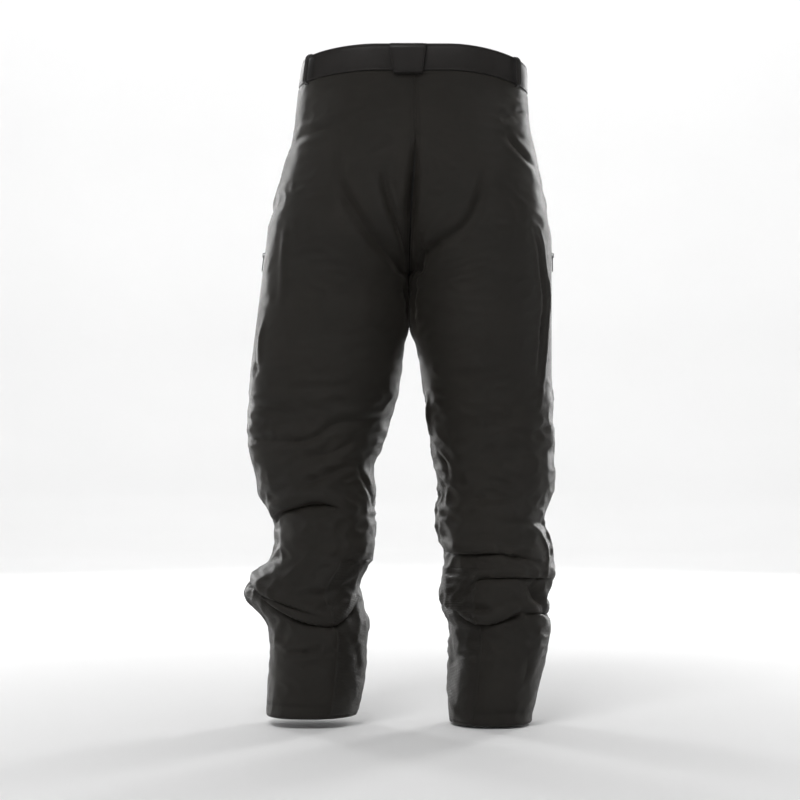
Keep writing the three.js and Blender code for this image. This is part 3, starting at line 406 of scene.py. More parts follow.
# The folds of the seat and of both inseams are the same on both sides.
SEAT = [
    crease(6.5, 8, (1.0, -132), (1.0, -175), (1.0, -240), (1.0, -322)),
    ridge(-6.5, 24, (1.0, -168), (1.0, -240), (1.0, -300), (1.0, -350)),
    ridge(-4.5, 14, (0.89, -262), (0.93, -300), (0.965, -335)),
    crease(3.5, 10, (0.012, -318), (0.08, -312), (0.17, -296)),
    crease(2.6, 8, (0.02, -286), (0.09, -272), (0.16, -248)),
]
FOLDS = {
    "left": SEAT + [
        crease(2.6, 8, (0.56, -128), (0.63, -120), (0.69, -119), (0.765, -116), (0.80, -118)),
        crease(3.2, 8, (0.80, -136), (0.801, -186), (0.816, -204), (0.844, -232), (0.87, -257),
            (0.909, -294),
               (0.95, -332)),
        ridge(-3.4, 15, (0.80, -136), (0.801, -186), (0.844, -232), (0.909, -294), (0.95, -332)),
        crease(4.2, 7, (0.915, -176), (0.926, -198), (0.951, -242), (0.97, -276), (0.981, -307)),
        crease(3.0, 8, (0.93, -338), (0.955, -368), (0.96, -400)),
        ridge(2.5, 12, (0.86, -170), (0.88, -215), (0.925, -262)),
        ridge(2.6, 8, (0.66, -250), (0.652, -290), (0.64, -340), (0.635, -375)),
        ridge(2.4, 7, (0.585, -390), (0.578, -420), (0.585, -462)),
        crease(1.8, 8, (0.66, -494), (0.70, -492), (0.746, -493), (0.82, -489)),
        crease(2.6, 8, (0.51, -512), (0.544, -517), (0.60, -520), (0.645, -524), (0.715, -534)),
        crease(3.4, 8, (0.46, -560), (0.554, -567), (0.693, -570), (0.749, -567), (0.806, -543),
            (0.95, -536)),
        crease(3.0, 9, (0.72, -596), (0.80, -588), (0.87, -566)),
        crease(2.2, 7, (0.885, -604), (0.905, -628), (0.95, -662), (0.98, -672)),
        ridge(4.0, 20, (0.49, -752), (0.50, -782), (0.49, -812)),
        ridge(-6.0, 20, (1.0, -724), (1.0, -758), (1.0, -800)),
        crease(3.0, 8, (0.715, -640), (0.771, -625), (0.843, -611)),
        lap(6.0, 10, (0.55, -694), (0.60, -680), (0.66, -670), (0.74, -660), (0.79, -664), (0.83, -678)),
        crease(2.0, 9, (0.62, -716), (0.70, -722), (0.78, -716)),
        ridge(-3.6, 12, (0.68, -815), (0.75, -826), (0.83, -824)),
        crease(2.6, 10, (0.80, -742), (0.88, -752), (0.96, -744)),
        lap(5.0, 7, (0.40, -772), (0.50, -781), (0.60, -789), (0.689, -804), (0.742, -817),
            (0.80, -830)),
        crease(2.6, 7, (0.72, -800), (0.80, -796), (0.89, -780)),
        lap(7.5, 9, (0.60, -793), (0.669, -814), (0.723, -830), (0.80, -837), (0.859, -828),
            (0.901, -818),
            (0.95, -806)),
        ridge(2.2, 6, (0.58, -862), (0.62, -867), (0.68, -878)),
        crease(2.2, 6, (0.66, -880), (0.70, -881), (0.76, -879)),
        crease(1.8, 9, (0.86, -866), (0.90, -884), (0.91, -912)),
        crease(3.0, 12, (0.42, -112), (0.34, -128), (0.24, -140)),
        crease(2.5, 10, (0.05, -352), (0.13, -362), (0.24, -358)),
        crease(2.2, 12, (0.12, -438), (0.22, -448), (0.36, -440)),
        crease(3.2, 10, (0.02, -560), (0.09, -592), (0.17, -604)),
        crease(3.0, 10, (0.44, -590), (0.36, -612), (0.28, -616)),
        lap(4.5, 10, (0.04, -716), (0.12, -728), (0.24, -726), (0.34, -712)),
        lap(6.0, 10, (0.02, -788), (0.10, -806), (0.22, -812), (0.36, -796)),
        lap(6.5, 9, (0.08, -858), (0.16, -846), (0.26, -842), (0.38, -852), (0.47, -846)),
        crease(3.0, 8, (0.10, -896), (0.20, -886), (0.32, -890)),
    ],
    "right": SEAT + [
        crease(2.8, 8, (0.74, -104), (0.716, -97), (0.65, -83), (0.56, -66)),
        crease(3.2, 8, (0.73, -122), (0.705, -135), (0.66, -152), (0.60, -166)),
        crease(3.2, 8, (0.81, -180), (0.822, -220), (0.849, -254), (0.875, -270), (0.909, -286),
            (0.965, -306)),
        ridge(-3.4, 15, (0.81, -180), (0.822, -220), (0.875, -270), (0.965, -306)),
        ridge(2.5, 12, (0.86, -180), (0.90, -222), (0.94, -268)),
        crease(4.5, 8, (0.965, -272), (0.938, -307), (0.926, -333), (0.936, -361), (0.934, -396)),
        ridge(3.2, 5, (0.635, -255), (0.60, -310), (0.573, -361), (0.585, -428), (0.60, -470),
            (0.623, -518)),
        crease(2.4, 5, (0.660, -262), (0.625, -310), (0.598, -361), (0.61, -428), (0.625, -470)),
        ridge(2.8, 6, (0.955, -500), (0.958, -530), (0.96, -566)),
        crease(2.2, 9, (0.56, -548), (0.64, -556), (0.72, -560)),
        crease(2.2, 6, (0.935, -590), (0.909, -606), (0.888, -624)),
        crease(1.8, 5, (0.955, -624), (0.93, -634), (0.905, -640)),
        ridge(4.2, 20, (1.0, -850), (1.0, -900), (1.0, -950)),
        ridge(2.2, 4, (0.606, -672), (0.545, -690), (0.525, -715), (0.55, -740), (0.60, -752)),
        ridge(1.8, 4, (0.64, -690), (0.60, -712), (0.585, -735), (0.60, -760)),
        ridge(2.4, 5, (0.985, -630), (0.985, -680), (0.985, -730)),
        crease(2.4, 9, (0.86, -664), (0.80, -655), (0.716, -657), (0.68, -662)),
        crease(3.0, 9, (0.75, -684), (0.70, -690), (0.60, -692), (0.53, -700)),
        lap(5.5, 8, (1.02, -730), (0.931, -735), (0.838, -734), (0.768, -732), (0.715, -737),
            (0.64, -748)),
        lap(5.0, 7, (0.84, -784), (0.807, -771), (0.754, -768), (0.701, -768), (0.62, -772),
            (0.55, -776)),
        crease(4.5, 9, (0.70, -772), (0.65, -790), (0.60, -812), (0.56, -826)),
        ridge(-4.0, 12, (0.66, -778), (0.63, -794), (0.60, -810)),
        lap(4.5, 8, (1.04, -806), (0.97, -812), (0.88, -818), (0.78, -817)),
        lap(5.5, 8, (0.88, -824), (0.84, -833), (0.78, -836), (0.705, -824), (0.68, -820)),
        crease(2.6, 7, (1.02, -836), (0.96, -841), (0.87, -846)),
        crease(3.4, 6, (0.955, -800), (0.90, -808), (0.82, -813), (0.75, -820)),
        lap(5.0, 8, (0.68, -822), (0.60, -822), (0.50, -826), (0.40, -816)),
        crease(2.0, 7, (0.91, -882), (0.86, -884), (0.80, -879)),
        ridge(2.4, 7, (1.01, -936), (0.95, -952), (0.88, -978)),
        crease(1.8, 9, (0.68, -872), (0.66, -905), (0.67, -930)),
        crease(3.0, 12, (0.43, -106), (0.35, -124), (0.25, -138)),
        crease(2.5, 10, (0.04, -356), (0.13, -366), (0.22, -362)),
        crease(2.2, 12, (0.10, -430), (0.22, -444), (0.34, -438)),
        crease(3.2, 10, (0.03, -570), (0.10, -600), (0.19, -608)),
        crease(3.0, 10, (0.43, -584), (0.36, -600), (0.28, -606)),
        lap(4.5, 10, (0.05, -706), (0.14, -720), (0.26, -718), (0.36, -704)),
        lap(6.0, 10, (0.03, -780), (0.12, -798), (0.24, -802), (0.38, -786)),
        lap(6.5, 9, (0.06, -850), (0.16, -840), (0.26, -838), (0.37, -846), (0.47, -858)),
        crease(3.0, 8, (0.08, -900), (0.18, -890), (0.30, -894)),
    ],
}

LEGS_PART, LEGS_PART_OVER = -380.0, 48.0  # the inner thighs press together to here, then part
CROTCH_EASE_PASSES, CROTCH_EASE_REACH = 60, 40.0
LEG_PRESS, LEG_PRESS_REACH, LEG_CLEARANCE = 1.5, 45.0, 0.03
# Beside the centre seams folds and faces point straight ahead or back, and wrinkles and laps fade.
FOLDS_LEVEL_WITHIN, FACES_LEVEL_WITHIN, WRINKLES_FADE_WITHIN, LAPS_FADE_WITHIN = 26, 9, 45, 30
# Near the other leg nothing swells: within a distance of the inseam, over a height below the crotch.
CLOSE_WITHIN, CLOSE_DOWN_TO, CLOSE_OVER = 60, 40, 120
WRINKLE_SEED = 7
BROAD_WRINKLE, SMALL_WRINKLE = (95, 52), (46, 24)  # millimetres across and along
PUCKER_HEIGHT, PUCKER_SPACING, PUCKER_WIDTH = 0.55, 8.0, (11, 12)  # at the side seam, elsewhere
PUCKER_KNOTS, PUCKERS_FROM = 400, 1100
# Height of the fine wrinkles by level.
wrinkle_height = Profile(
    (0, 0.0), (-39, 0.25), (-120, 0.8), (-230, 0.9), (-330, 0.9), (-430, 0.8),
    (-560, 1.9), (-680, 2.4), (-820, 2.6), (-900, 1.3), (-960, 0.8), (-1000, 0.6),
)


def wrinkles(seed, shape, spacing, across, along):
    """Noise of height about 1 whose lumps are about across by along millimetres."""
    white = np.random.default_rng(seed).standard_normal(shape)
    rows, columns = (np.fft.fftfreq(n, d) for n, d in zip(shape, spacing))
    power = (rows[:, None] * along) ** 2 + (columns[None, :] * across) ** 2
    noise = np.fft.ifft2(np.fft.fft2(white) * power * np.exp(-2.2 * power)).real
    return noise / noise.std()


class Skin:
    """A leg's surface with its folds, as a table of points and of outward directions."""

    ROW = 2.5
    COLUMNS = 288
    GIRTH = 650.0  # the usual length round, for turning a u into a distance

    def __init__(self, leg):
        self.leg = leg
        self.rows = int(np.ceil((6 - leg.hem) / self.ROW)) + 1
        level = leg.hem + self.ROW * np.arange(self.rows)[:, None]
        u = np.linspace(0, 1, self.COLUMNS + 1)[None, :]
        level, u = np.broadcast_arrays(level, u)
        points = self.ease_crotch(leg.base(level, u), level, u)
        outward = self.outwards(points)
        room = np.ones(level.shape)
        for made in (FLY, POCKETS[leg.name], VENTS[leg.name]):
            points, near = flatten_to_zip(made, points)
            room *= 1 - near
        out, down = self.folds(level, u)
        out, down = out * room, down * room
        self.level, self.u = level, u
        outward = self.level_at_centre(outward, FOLDS_LEVEL_WITHIN)
        points = points + outward * out[..., None]
        points[..., 2] -= down
        self.points = self.meet_other_leg(points)
        self.normals = self.level_at_centre(self.outwards(self.points), FACES_LEVEL_WITHIN)

    def from_centre(self, u):
        """Distance round the leg from the centre seams and the inseam."""
        return np.minimum(u, 1 - u) * self.GIRTH

    def outwards(self, points):
        """Directions out of a table of points."""
        along = np.gradient(points, axis=0)
        around = np.gradient(points, axis=1)
        return unit(np.cross(along, around) * self.leg.side)

    def ease_crotch(self, points, level, u):
        """The bend between seat and thigh spread over more height, except at the seams."""
        eased = points
        for _ in range(CROTCH_EASE_PASSES):
            eased = np.vstack([eased[:1], (eased[:-2] + 2 * eased[1:-1] + eased[2:]) / 4, eased[-1:]])
        by_level = smooth(1.6 - np.abs(level - CROTCH - 8) / CROTCH_EASE_REACH)
        near = by_level * smooth(self.from_centre(u) / CROTCH_EASE_REACH - 0.2)
        return points + near[..., None] * (eased - points)

    def meet_other_leg(self, points):
        """The inner thighs drawn together, so that they press flat down to LEGS_PART."""
        side = self.leg.side
        inner = (points[..., 0] - sway(points[..., 2])) * side
        nearest_inner = inner.min(axis=1, keepdims=True)
        apart = smooth((LEGS_PART - self.level) / LEGS_PART_OVER)
        wanted = -LEG_PRESS + (nearest_inner + LEG_PRESS) * apart
        below = smooth((CROTCH + 3 - self.level) / 4)
        near = below * (1 - smooth((inner - nearest_inner) / LEG_PRESS_REACH))
        moved = inner - near * (nearest_inner - wanted)
        moved = np.where(below > 0, np.maximum(moved, LEG_CLEARANCE), moved)
        points = points.copy()
        points[..., 0] += side * (moved - inner)
        return points

    def level_at_centre(self, directions, width):
        """Directions without their sideways part near the centre seams, where the halves meet."""
        above_crotch = smooth((self.level - CROTCH + 6) / 12)
        share = above_crotch * (1 - smooth(self.from_centre(self.u) / width))
        ahead = np.zeros(directions.shape)
        ahead[..., 1] = np.where(self.u < 0.5, 1, -1)
        return unit(directions + share[..., None] * (ahead * 1.001 - directions))

    def folds(self, level, u):
        """How far out of the smooth surface, and how far down, the folds move each point."""
        leg = self.leg
        out, down = np.zeros(level.shape), np.zeros(level.shape)
        for stroke in FOLDS[leg.name]:
            stroke.add_to(leg, level, u, out, down)
        spacing = (self.ROW, self.GIRTH / self.COLUMNS)
        shape = (self.rows, self.COLUMNS)
        seed = WRINKLE_SEED + leg.side
        broad = wrinkles(seed, shape, spacing, *BROAD_WRINKLE)
        small = wrinkles(seed + 10, shape, spacing, *SMALL_WRINKLE)
        noise = 0.55 * broad - 0.5 * (np.abs(small) - 0.8)
        noise = np.hstack([noise, noise[:, :1]])
        seam = self.from_centre(u)
        above_crotch = smooth((level - CROTCH + 12) / 24)
        noise = noise * (1 - above_crotch * (1 - smooth(seam / WRINKLES_FADE_WITHIN)))
        out += noise * wrinkle_height(level)
        out += self.puckers(level, u)
        close = 1 - smooth((CROTCH - CLOSE_DOWN_TO - level) / CLOSE_OVER)
        close = close * (1 - above_crotch) * (1 - smooth(seam / CLOSE_WITHIN))
        out = np.where(out > 0, out * (1 - close), out)
        return out, down * (1 - above_crotch * (1 - smooth(seam / LAPS_FADE_WITHIN)))

    def puckers(self, level, u):
        """Small ripples across the side seam, the inseam and the centre seams."""
        rng = np.random.default_rng(WRINKLE_SEED + 20)
        knots = rng.standard_normal(PUCKER_KNOTS)
        at = (level + PUCKERS_FROM) / PUCKER_SPACING
        ripple = np.interp(at.ravel(), np.arange(PUCKER_KNOTS), knots).reshape(at.shape)
        side = np.exp(-(((u - 0.5) * self.GIRTH / PUCKER_WIDTH[0]) ** 2))
        inside = np.exp(-((self.from_centre(u) / PUCKER_WIDTH[1]) ** 2))
        return PUCKER_HEIGHT * ripple * (side + inside * smooth((-60 - level) / 40))

    def at(self, level, u, grow=0.0):
        """Points at any levels and us, a distance outside the fabric's face."""
        level, u, grow = np.broadcast_arrays(*(np.asarray(a, float) for a in (level, u, grow)))
        row = np.clip((level - self.leg.hem) / self.ROW, 0, self.rows - 1.001)
        column = np.clip(u * self.COLUMNS, 0, self.COLUMNS - 0.001)
        points = sample(self.points, row, column)
        return points + unit(sample(self.normals, row, column)) * grow[..., None]


def sample(table, row, column):
    """A table read between its entries with a Catmull-Rom curve each way."""

    def weights(t):
        return np.stack([
            0.5 * (-t + 2 * t**2 - t**3),
            0.5 * (2 - 5 * t**2 + 3 * t**3),
            0.5 * (t + 4 * t**2 - 3 * t**3),
            0.5 * (t**3 - t**2),
        ])

    i, j = row.astype(int), column.astype(int)
    by_row, by_column = weights(row - i), weights(column - j)
    total = 0
    for a in range(4):
        r = np.clip(i + a - 1, 0, table.shape[0] - 1)
        for b in range(4):
            c = np.clip(j + b - 1, 0, table.shape[1] - 1)
            total = total + table[r, c] * (by_row[a] * by_column[b])[..., None]
    return total


ZIP_CROWN = 260.0  # radius of the fabric across a zip
ZIP_FLAT, ZIP_REACH = 15.0, 46.0  # flat within the first distance, untouched past the second
ZIP_SAME_SIDE = 40.0  # what lies further off its face is on the leg's other side


def flatten_to_zip(made, points):
    """Points lowered or raised to a zip's face, and how fully each one was."""
    x, y, z = np.moveaxis(made.local(points), -1, 0)
    beyond = np.maximum(np.maximum(-x - TAPE_TAIL, x - made.length - TAPE_TAIL), 0)
    away = np.hypot(np.maximum(np.abs(y) - ZIP_FLAT, 0), beyond) / (ZIP_REACH - ZIP_FLAT)
    near = np.where(np.abs(z) < ZIP_SAME_SIDE, 1 - smooth(away), 0)
    height = -(y**2) / (2 * ZIP_CROWN)
    return points + (near * (height - z))[..., None] * made.z, near


SKINS = {leg.name: Skin(leg) for leg in LEGS}


# ---- Meshes ------------------------------------------------------------------------------------


def mesh_object(name, points, faces, materials, slots=None, uvs=None, sharp=50):
    """A smooth-shaded object from points in millimetres, sharp where its faces turn far."""
    mesh = bpy.data.meshes.new(name)
    listed = faces.tolist() if isinstance(faces, np.ndarray) else faces
    mesh.from_pydata((np.asarray(points) * MM).tolist(), [], listed)
    for material in materials:
        mesh.materials.append(material)
    if slots is not None:
        mesh.polygons.foreach_set("material_index", np.asarray(slots, np.int32))
    if uvs is not None:
        loops = np.empty(len(mesh.loops), np.int32)
        mesh.loops.foreach_get("vertex_index", loops)
        layer = mesh.uv_layers.new(name="cloth")
        layer.data.foreach_set("uv", (np.asarray(uvs)[loops] * MM).ravel().astype(np.float32))
    mesh.polygons.foreach_set("use_smooth", np.ones(len(mesh.polygons), bool))
    mesh.set_sharp_from_angle(angle=np.radians(sharp))
    mesh.update()
    made = bpy.data.objects.new(name, mesh)
    bpy.context.scene.collection.objects.link(made)
    return made


def grid_faces(rows, columns, start=0, ring=False, keep=None, flip=False):
    """Quads of a grid of points, without those whose keep is False."""
    r, c = np.meshgrid(np.arange(rows - 1), np.arange(columns if ring else columns - 1), indexing="ij")
    if keep is not None:
        r, c = r[keep], c[keep]
    here, above, c = start + r.ravel() * columns, start + (r.ravel() + 1) * columns, c.ravel()
    beside = (c + 1) % columns
    faces = np.stack([here + c, here + beside, above + beside, above + c], -1)
    return faces[:, ::-1] if flip else faces


def boundary(faces):
    """The directed edges that only one face has."""
    edges = np.stack([faces, np.roll(faces, -1, axis=1)], -1).reshape(-1, 2)
    size = faces.max() + 1
    keys = edges[:, 0] * size + edges[:, 1]
    back = edges[:, 1] * size + edges[:, 0]
    return edges[~np.isin(keys, back)]


def volume(points, faces):
    """Six times the volume inside quads, which is negative where they face inwards."""
    a, b, c, d = (points[faces[:, k]] for k in range(4))
    return float((a * (np.cross(b, c) + np.cross(c, d))).sum())


def layered(name, outer, inner, materials, ring=False, keep=None, uvs=None, sharp=50):
    """A closed cloth piece between two grids of points. Materials are outside, inside, edge."""
    rows, columns = outer.shape[:2]
    count = rows * columns
    points = np.vstack([outer.reshape(-1, 3), inner.reshape(-1, 3)])
    front = grid_faces(rows, columns, 0, ring, keep)
    back = grid_faces(rows, columns, count, ring, keep, flip=True)
    rim = boundary(front)
    edge = np.stack([rim[:, 1], rim[:, 0], rim[:, 0] + count, rim[:, 1] + count], -1)
    faces = np.vstack([front, back, edge])
    if volume(points, faces) < 0:
        faces = faces[:, ::-1]
    slots = np.repeat([0, 1, 2], [len(front), len(back), len(edge)])
    used, faces_used = np.unique(faces, return_inverse=True)
    both = None if uvs is None else np.vstack([uvs.reshape(-1, 2)] * 2)[used]
    return mesh_object(
        name, points[used], faces_used.reshape(faces.shape), materials, slots, both, sharp
    )


def closed_loft(name, rings, materials, sharp=50, ring=False):
    """A solid through closed rings of points, capped at both ends unless it closes on itself."""
    rings = np.asarray(rings)
    count, around = rings.shape[:2]
    points = rings.reshape(-1, 3)
    row = np.arange(count if ring else count - 1)[:, None] * around
    column = np.arange(around)[None, :]
    after, beside = (row + around) % (count * around), (column + 1) % around
    quads = np.stack([row + column, row + beside, after + beside, after + column], -1).reshape(-1, 4)
    inward = volume(points, quads) < 0
    faces = (quads[:, ::-1] if inward else quads).tolist()
    if not ring:
        first, last = list(range(around)), list(range((count - 1) * around, count * around))
        faces += [first if inward else first[::-1], last[::-1] if inward else last]
    return mesh_object(name, points, faces, materials, sharp=sharp)


def declare(piece, slot, *nodes, body="shell"):
    """A piece's material slot, which is not used, the body it rides on and the CAD nodes it stands for."""
    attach(piece, body)
    if nodes:
        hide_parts(*nodes)


# ---- Materials ---------------------------------------------------------------------------------


class Shader:
    """A short way to build a node material. Sockets are named, and values may be nodes' outputs."""

    def __init__(self, name):
        self.material = bpy.data.materials.new(name)
        self.material.use_nodes = True
        self.tree = self.material.node_tree
        self.tree.nodes.clear()
        self.output = self.tree.nodes.new("ShaderNodeOutputMaterial")
        self.principled = self.tree.nodes.new("ShaderNodeBsdfPrincipled")
        self.tree.links.new(self.principled.outputs[0], self.output.inputs["Surface"])

    def put(self, socket, value):
        if isinstance(value, bpy.types.NodeSocket):
            self.tree.links.new(value, socket)
        elif isinstance(value, tuple) and socket.type == "RGBA":
            socket.default_value = (*value, 1.0)
        else:
            socket.default_value = value

    def node(self, kind, output=0, settings=None, **inputs):
        made = self.tree.nodes.new("ShaderNode" + kind)
        for key, value in (settings or {}).items():
            setattr(made, key, value)
        for key, value in inputs.items():
            name = key.replace("_", " ")
            self.put(made.inputs[int(name[1:]) if name[0] == "i" and name[1:].isdigit() else name], value)
        return made.outputs[output]

    def math(self, operation, a, b=0.0, c=0.0):
        return self.node("Math", settings={"operation": operation}, i0=a, i1=b, i2=c)

    def mix(self, factor, a, b):
        return self.node(
            "Mix", output=2, settings={"data_type": "RGBA"}, i0=factor, i6=a, i7=b
        )

    def noise(self, vector, scale, detail=3.0, roughness=0.55):
        return self.node("TexNoise", Vector=vector, Scale=scale, Detail=detail, Roughness=roughness)

    def ramp(self, value, low, high, to_low=0.0, to_high=1.0):
        return self.node(
            "MapRange", settings={"interpolation_type": "SMOOTHSTEP"},
            i0=value, i1=low, i2=high, i3=to_low, i4=to_high,
        )

    def bump(self, height, distance, strength=1.0, normal=None):
        inputs = {"Height": height, "Distance": distance, "Strength": strength}
        if normal is not None:
            inputs["Normal"] = normal
        return self.node("Bump", **inputs)

    def surface(self, **inputs):
        for key, value in inputs.items():
            self.put(self.principled.inputs[key.replace("_", " ")], value)
        return self.material

    def uv(self):
        return self.node("UVMap", settings={"uv_map": "cloth"})

    def object_place(self):
        return self.node("TexCoord", output=3)

    def split(self, vector):
        made = self.tree.nodes.new("ShaderNodeSeparateXYZ")
        self.tree.links.new(vector, made.inputs[0])
        return made.outputs


def weave(shader, vector, pitch, twill=0.5):
    """Height of a plain or twill weave whose threads are pitch metres apart, from 0 to 1."""
    x, y, _ = shader.split(vector)
    warp = shader.math("MULTIPLY", x, 1 / pitch)
    weft = shader.math("MULTIPLY", y, 1 / pitch)
    row = shader.math("FLOOR", weft)
    shifted = shader.math("ADD", warp, shader.math("MULTIPLY", row, twill))
    across = shader.math("ABSOLUTE", shader.math("SINE", shader.math("MULTIPLY", shifted, np.pi)))
    along = shader.math("ABSOLUTE", shader.math("SINE", shader.math("MULTIPLY", weft, np.pi)))
    return shader.math("MULTIPLY", across, shader.math("POWER", along, 0.6))


def cloth_material(name, dark, light, pitch, twill, roughness, sheen, relief, specular=0.22):
    """Woven cloth: two tones by place, a weave in its relief, and a painted highlight that lightens its
    ridges.
    """
    shader = Shader(name)
    uv = shader.uv()
    place = shader.object_place()
    woven = weave(shader, uv, pitch, twill)
    cloudy = shader.noise(place, 9.0, 4.0)
    fine = shader.noise(place, 420.0, 2.0, 0.6)
    tone = shader.math("ADD", shader.math("MULTIPLY", cloudy, 0.7), shader.math("MULTIPLY", fine, 0.3))
    colour = shader.mix(shader.ramp(tone, 0.35, 0.68), dark, light)
    threads = shader.mix(shader.ramp(woven, 0.15, 0.9, 0.0, 0.35), colour, light)
    # Painted highlight: ridges, found by pointiness, are mixed towards a lighter colour, as if lit.
    pointed = shader.node("NewGeometry", output=7)
    painted_highlight = shader.ramp(pointed, 0.53, 0.62, 0.0, 0.4)
    painted_highlight_colour = tuple(min(1.0, 1.9 * c) for c in light)
    base = shader.mix(painted_highlight, threads, painted_highlight_colour)
    rough = shader.ramp(cloudy, 0.3, 0.7, roughness - 0.06, roughness + 0.06)
    waves = shader.bump(shader.noise(place, 60.0, 4.0, 0.6), 0.0012, 0.35)
    normal = shader.bump(woven, relief, 0.8, waves)
    tint = tuple(0.5 + 0.5 * c / max(light) for c in light)
    return shader.surface(
        Base_Color=base, Roughness=rough, Specular_IOR_Level=specular, Sheen_Weight=sheen,
        Sheen_Roughness=0.22, Sheen_Tint=tint, Normal=normal,
    )


SHELL = cloth_material(
    "shell_softshell", (0.0135, 0.0116, 0.0092), (0.0196, 0.0169, 0.0137),
    pitch=0.0011, twill=0.33, roughness=0.46, sheen=0.10, relief=0.00035,
)
BAND = cloth_material(
    "band_softshell", (0.0140, 0.0124, 0.0114), (0.0204, 0.0181, 0.0168),
    pitch=0.0011, twill=0.33, roughness=0.48, sheen=0.10, relief=0.00035,
)
LINING = cloth_material(
    "lining_taffeta", (0.040, 0.041, 0.044), (0.056, 0.058, 0.062),
    pitch=0.0007, twill=0.5, roughness=0.42, sheen=0.05, relief=0.00015, specular=0.3,
)
SCUFF = cloth_material(
    "scuff_coated_ripstop", (0.0124, 0.0108, 0.0087), (0.0180, 0.0157, 0.0128),
    pitch=0.0021, twill=0.5, roughness=0.46, sheen=0.10, relief=0.0006,
)
WEBBING = cloth_material(
    "elastic_webbing", (0.016, 0.016, 0.016), (0.030, 0.029, 0.028),
    pitch=0.0016, twill=0.5, roughness=0.75, sheen=0.06, relief=0.0007,
)
TAPE = cloth_material(
    "zip_tape_twill", (0.010, 0.010, 0.010), (0.017, 0.017, 0.017),
    pitch=0.0010, twill=0.25, roughness=0.6, sheen=0.05, relief=0.0003,
)
MESH_CLOTH = cloth_material(
    "vent_mesh_knit", (0.010, 0.010, 0.011), (0.024, 0.024, 0.025),
    pitch=0.0026, twill=0.5, roughness=0.7, sheen=0.05, relief=0.0012,
)


def thread_material():
    shader = Shader("topstitch_thread")
    place = shader.object_place()
    tone = shader.ramp(shader.noise(place, 900.0, 2.0), 0.3, 0.7)
    return shader.surface(
        Base_Color=shader.mix(tone, (0.012, 0.0112, 0.0100), (0.018, 0.0168, 0.0152)),
        Roughness=0.6, Specular_IOR_Level=0.12, Normal=shader.bump(tone, 0.0002, 0.6),
    )


def plastic_material(name, dark, light, roughness):
    shader = Shader(name)
    place = shader.object_place()
    tone = shader.ramp(shader.noise(place, 260.0, 4.0), 0.3, 0.7)
    # Painted highlight: sharp edges, found by pointiness, are mixed towards a much lighter colour.
    painted_highlight = shader.ramp(shader.node("NewGeometry", output=7), 0.53, 0.62, 0.0, 0.5)
    base = shader.mix(painted_highlight, shader.mix(tone, dark, light), tuple(3 * c for c in light))
    return shader.surface(
        Base_Color=base, Roughness=shader.ramp(tone, 0.0, 1.0, roughness, roughness + 0.12),
        Specular_IOR_Level=0.5, Normal=shader.bump(shader.noise(place, 1500.0, 2.0), 0.00004, 0.5),
    )


def metal_material():
    shader = Shader("gunmetal_plating")
    place = shader.object_place()
    scratches = shader.noise(shader.node("Mapping", Vector=place, Scale=(900, 120, 900)), 1.0, 3.0)
    # Painted highlight: sharp edges, found by pointiness, are mixed from the dark plating colour towards a
    # light one.
    painted_highlight = shader.ramp(shader.node("NewGeometry", output=7), 0.52, 0.6)
    base = shader.mix(painted_highlight, (0.055, 0.056, 0.060), (0.24, 0.24, 0.25))
    return shader.surface(
        Base_Color=base, Metallic=1.0, Roughness=shader.ramp(scratches, 0.3, 0.7, 0.26, 0.44),
        Normal=shader.bump(scratches, 0.00003, 0.5),
    )


THREAD = thread_material()
PLASTIC = plastic_material("zip_nylon", (0.0075, 0.0075, 0.0078), (0.013, 0.013, 0.0135), 0.32)
METAL = metal_material()


# ---- Cloth panels ------------------------------------------------------------------------------

ROW, COLUMN = 2.8, 2.8  # spacing of the panels' points
POCKET_SHEAR, POCKET_TILT_REACH = 1.25, 26.0
# How far past the pocket's ends its tilt reaches, and over what height it fades.
POCKET_FADE_UP, POCKET_FADE_DOWN = (26, 22), (40, 30)
SLOT_NEAR, SLOT_OVER, SLOT_BESIDE = 30.0, 4.0, 1.5
SHELL_WALL = 2.4
EDGE_ROLL, EDGE_DROP = 3.0, 0.6  # a panel's edge turns in over this width, by this much
LINES_AT_EDGE = (0.0, 0.7, 1.6, 3.2)  # distances of the first rows and columns from an edge


def lines(low, high, spacing):
    """Values from low to high, closer together at both ends."""
    inset = np.array(LINES_AT_EDGE)
    middle = np.linspace(low + inset[-1], high - inset[-1], max(3, int((high - low) / spacing) + 1))
    return np.concatenate([low + inset[:-1], middle, high - inset[:-1][::-1]])


def pillow(levels, us, girth, width, drop):
    """How far a patch's face sinks within a width of its edges."""
    row = np.minimum(levels - levels[0, 0], levels[-1, 0] - levels)
    column = np.minimum(us - us[0, 0], us[0, -1] - us) * girth
    return drop * (1 - smooth(np.minimum(row, column) / width)) ** 1.5


def panel_grid(bottom, top, low_u, high_u):
    """Levels and us of a panel's points."""
    levels = lines(bottom, top, ROW)
    us = lines(low_u * GIRTH, high_u * GIRTH, COLUMN) / GIRTH
    return np.meshgrid(levels, us, indexing="ij")


def follow_pocket(levels, us):
    """A panel's places sheared near the slanted pocket zip, to run along it and across it."""
    top, bottom = np.array(POCKET_TOP), np.array(POCKET_BOTTOM)
    middle_u = (top[1] + bottom[1]) / 2
    slant = (top[1] - bottom[1]) / (top[0] - bottom[0])  # u to a level
    beside = np.clip(levels, bottom[0], top[0])
    shift = slant * (beside - (top[0] + bottom[0]) / 2)
    room = np.where(us < middle_u, us / middle_u, (0.5 - us) / (0.5 - middle_u))
    share = np.clip(room * POCKET_SHEAR, 0, 1)
    moved = us + shift * share
    away = (us - middle_u) * GIRTH
    lift = -away * np.exp(-((away / POCKET_TILT_REACH) ** 2)) * slant * GIRTH
    below_top = smooth((top[0] + POCKET_FADE_UP[0] - levels) / POCKET_FADE_UP[1])
    above_bottom = smooth((levels - bottom[0] + POCKET_FADE_DOWN[0]) / POCKET_FADE_DOWN[1])
    return levels + lift * below_top * above_bottom, moved


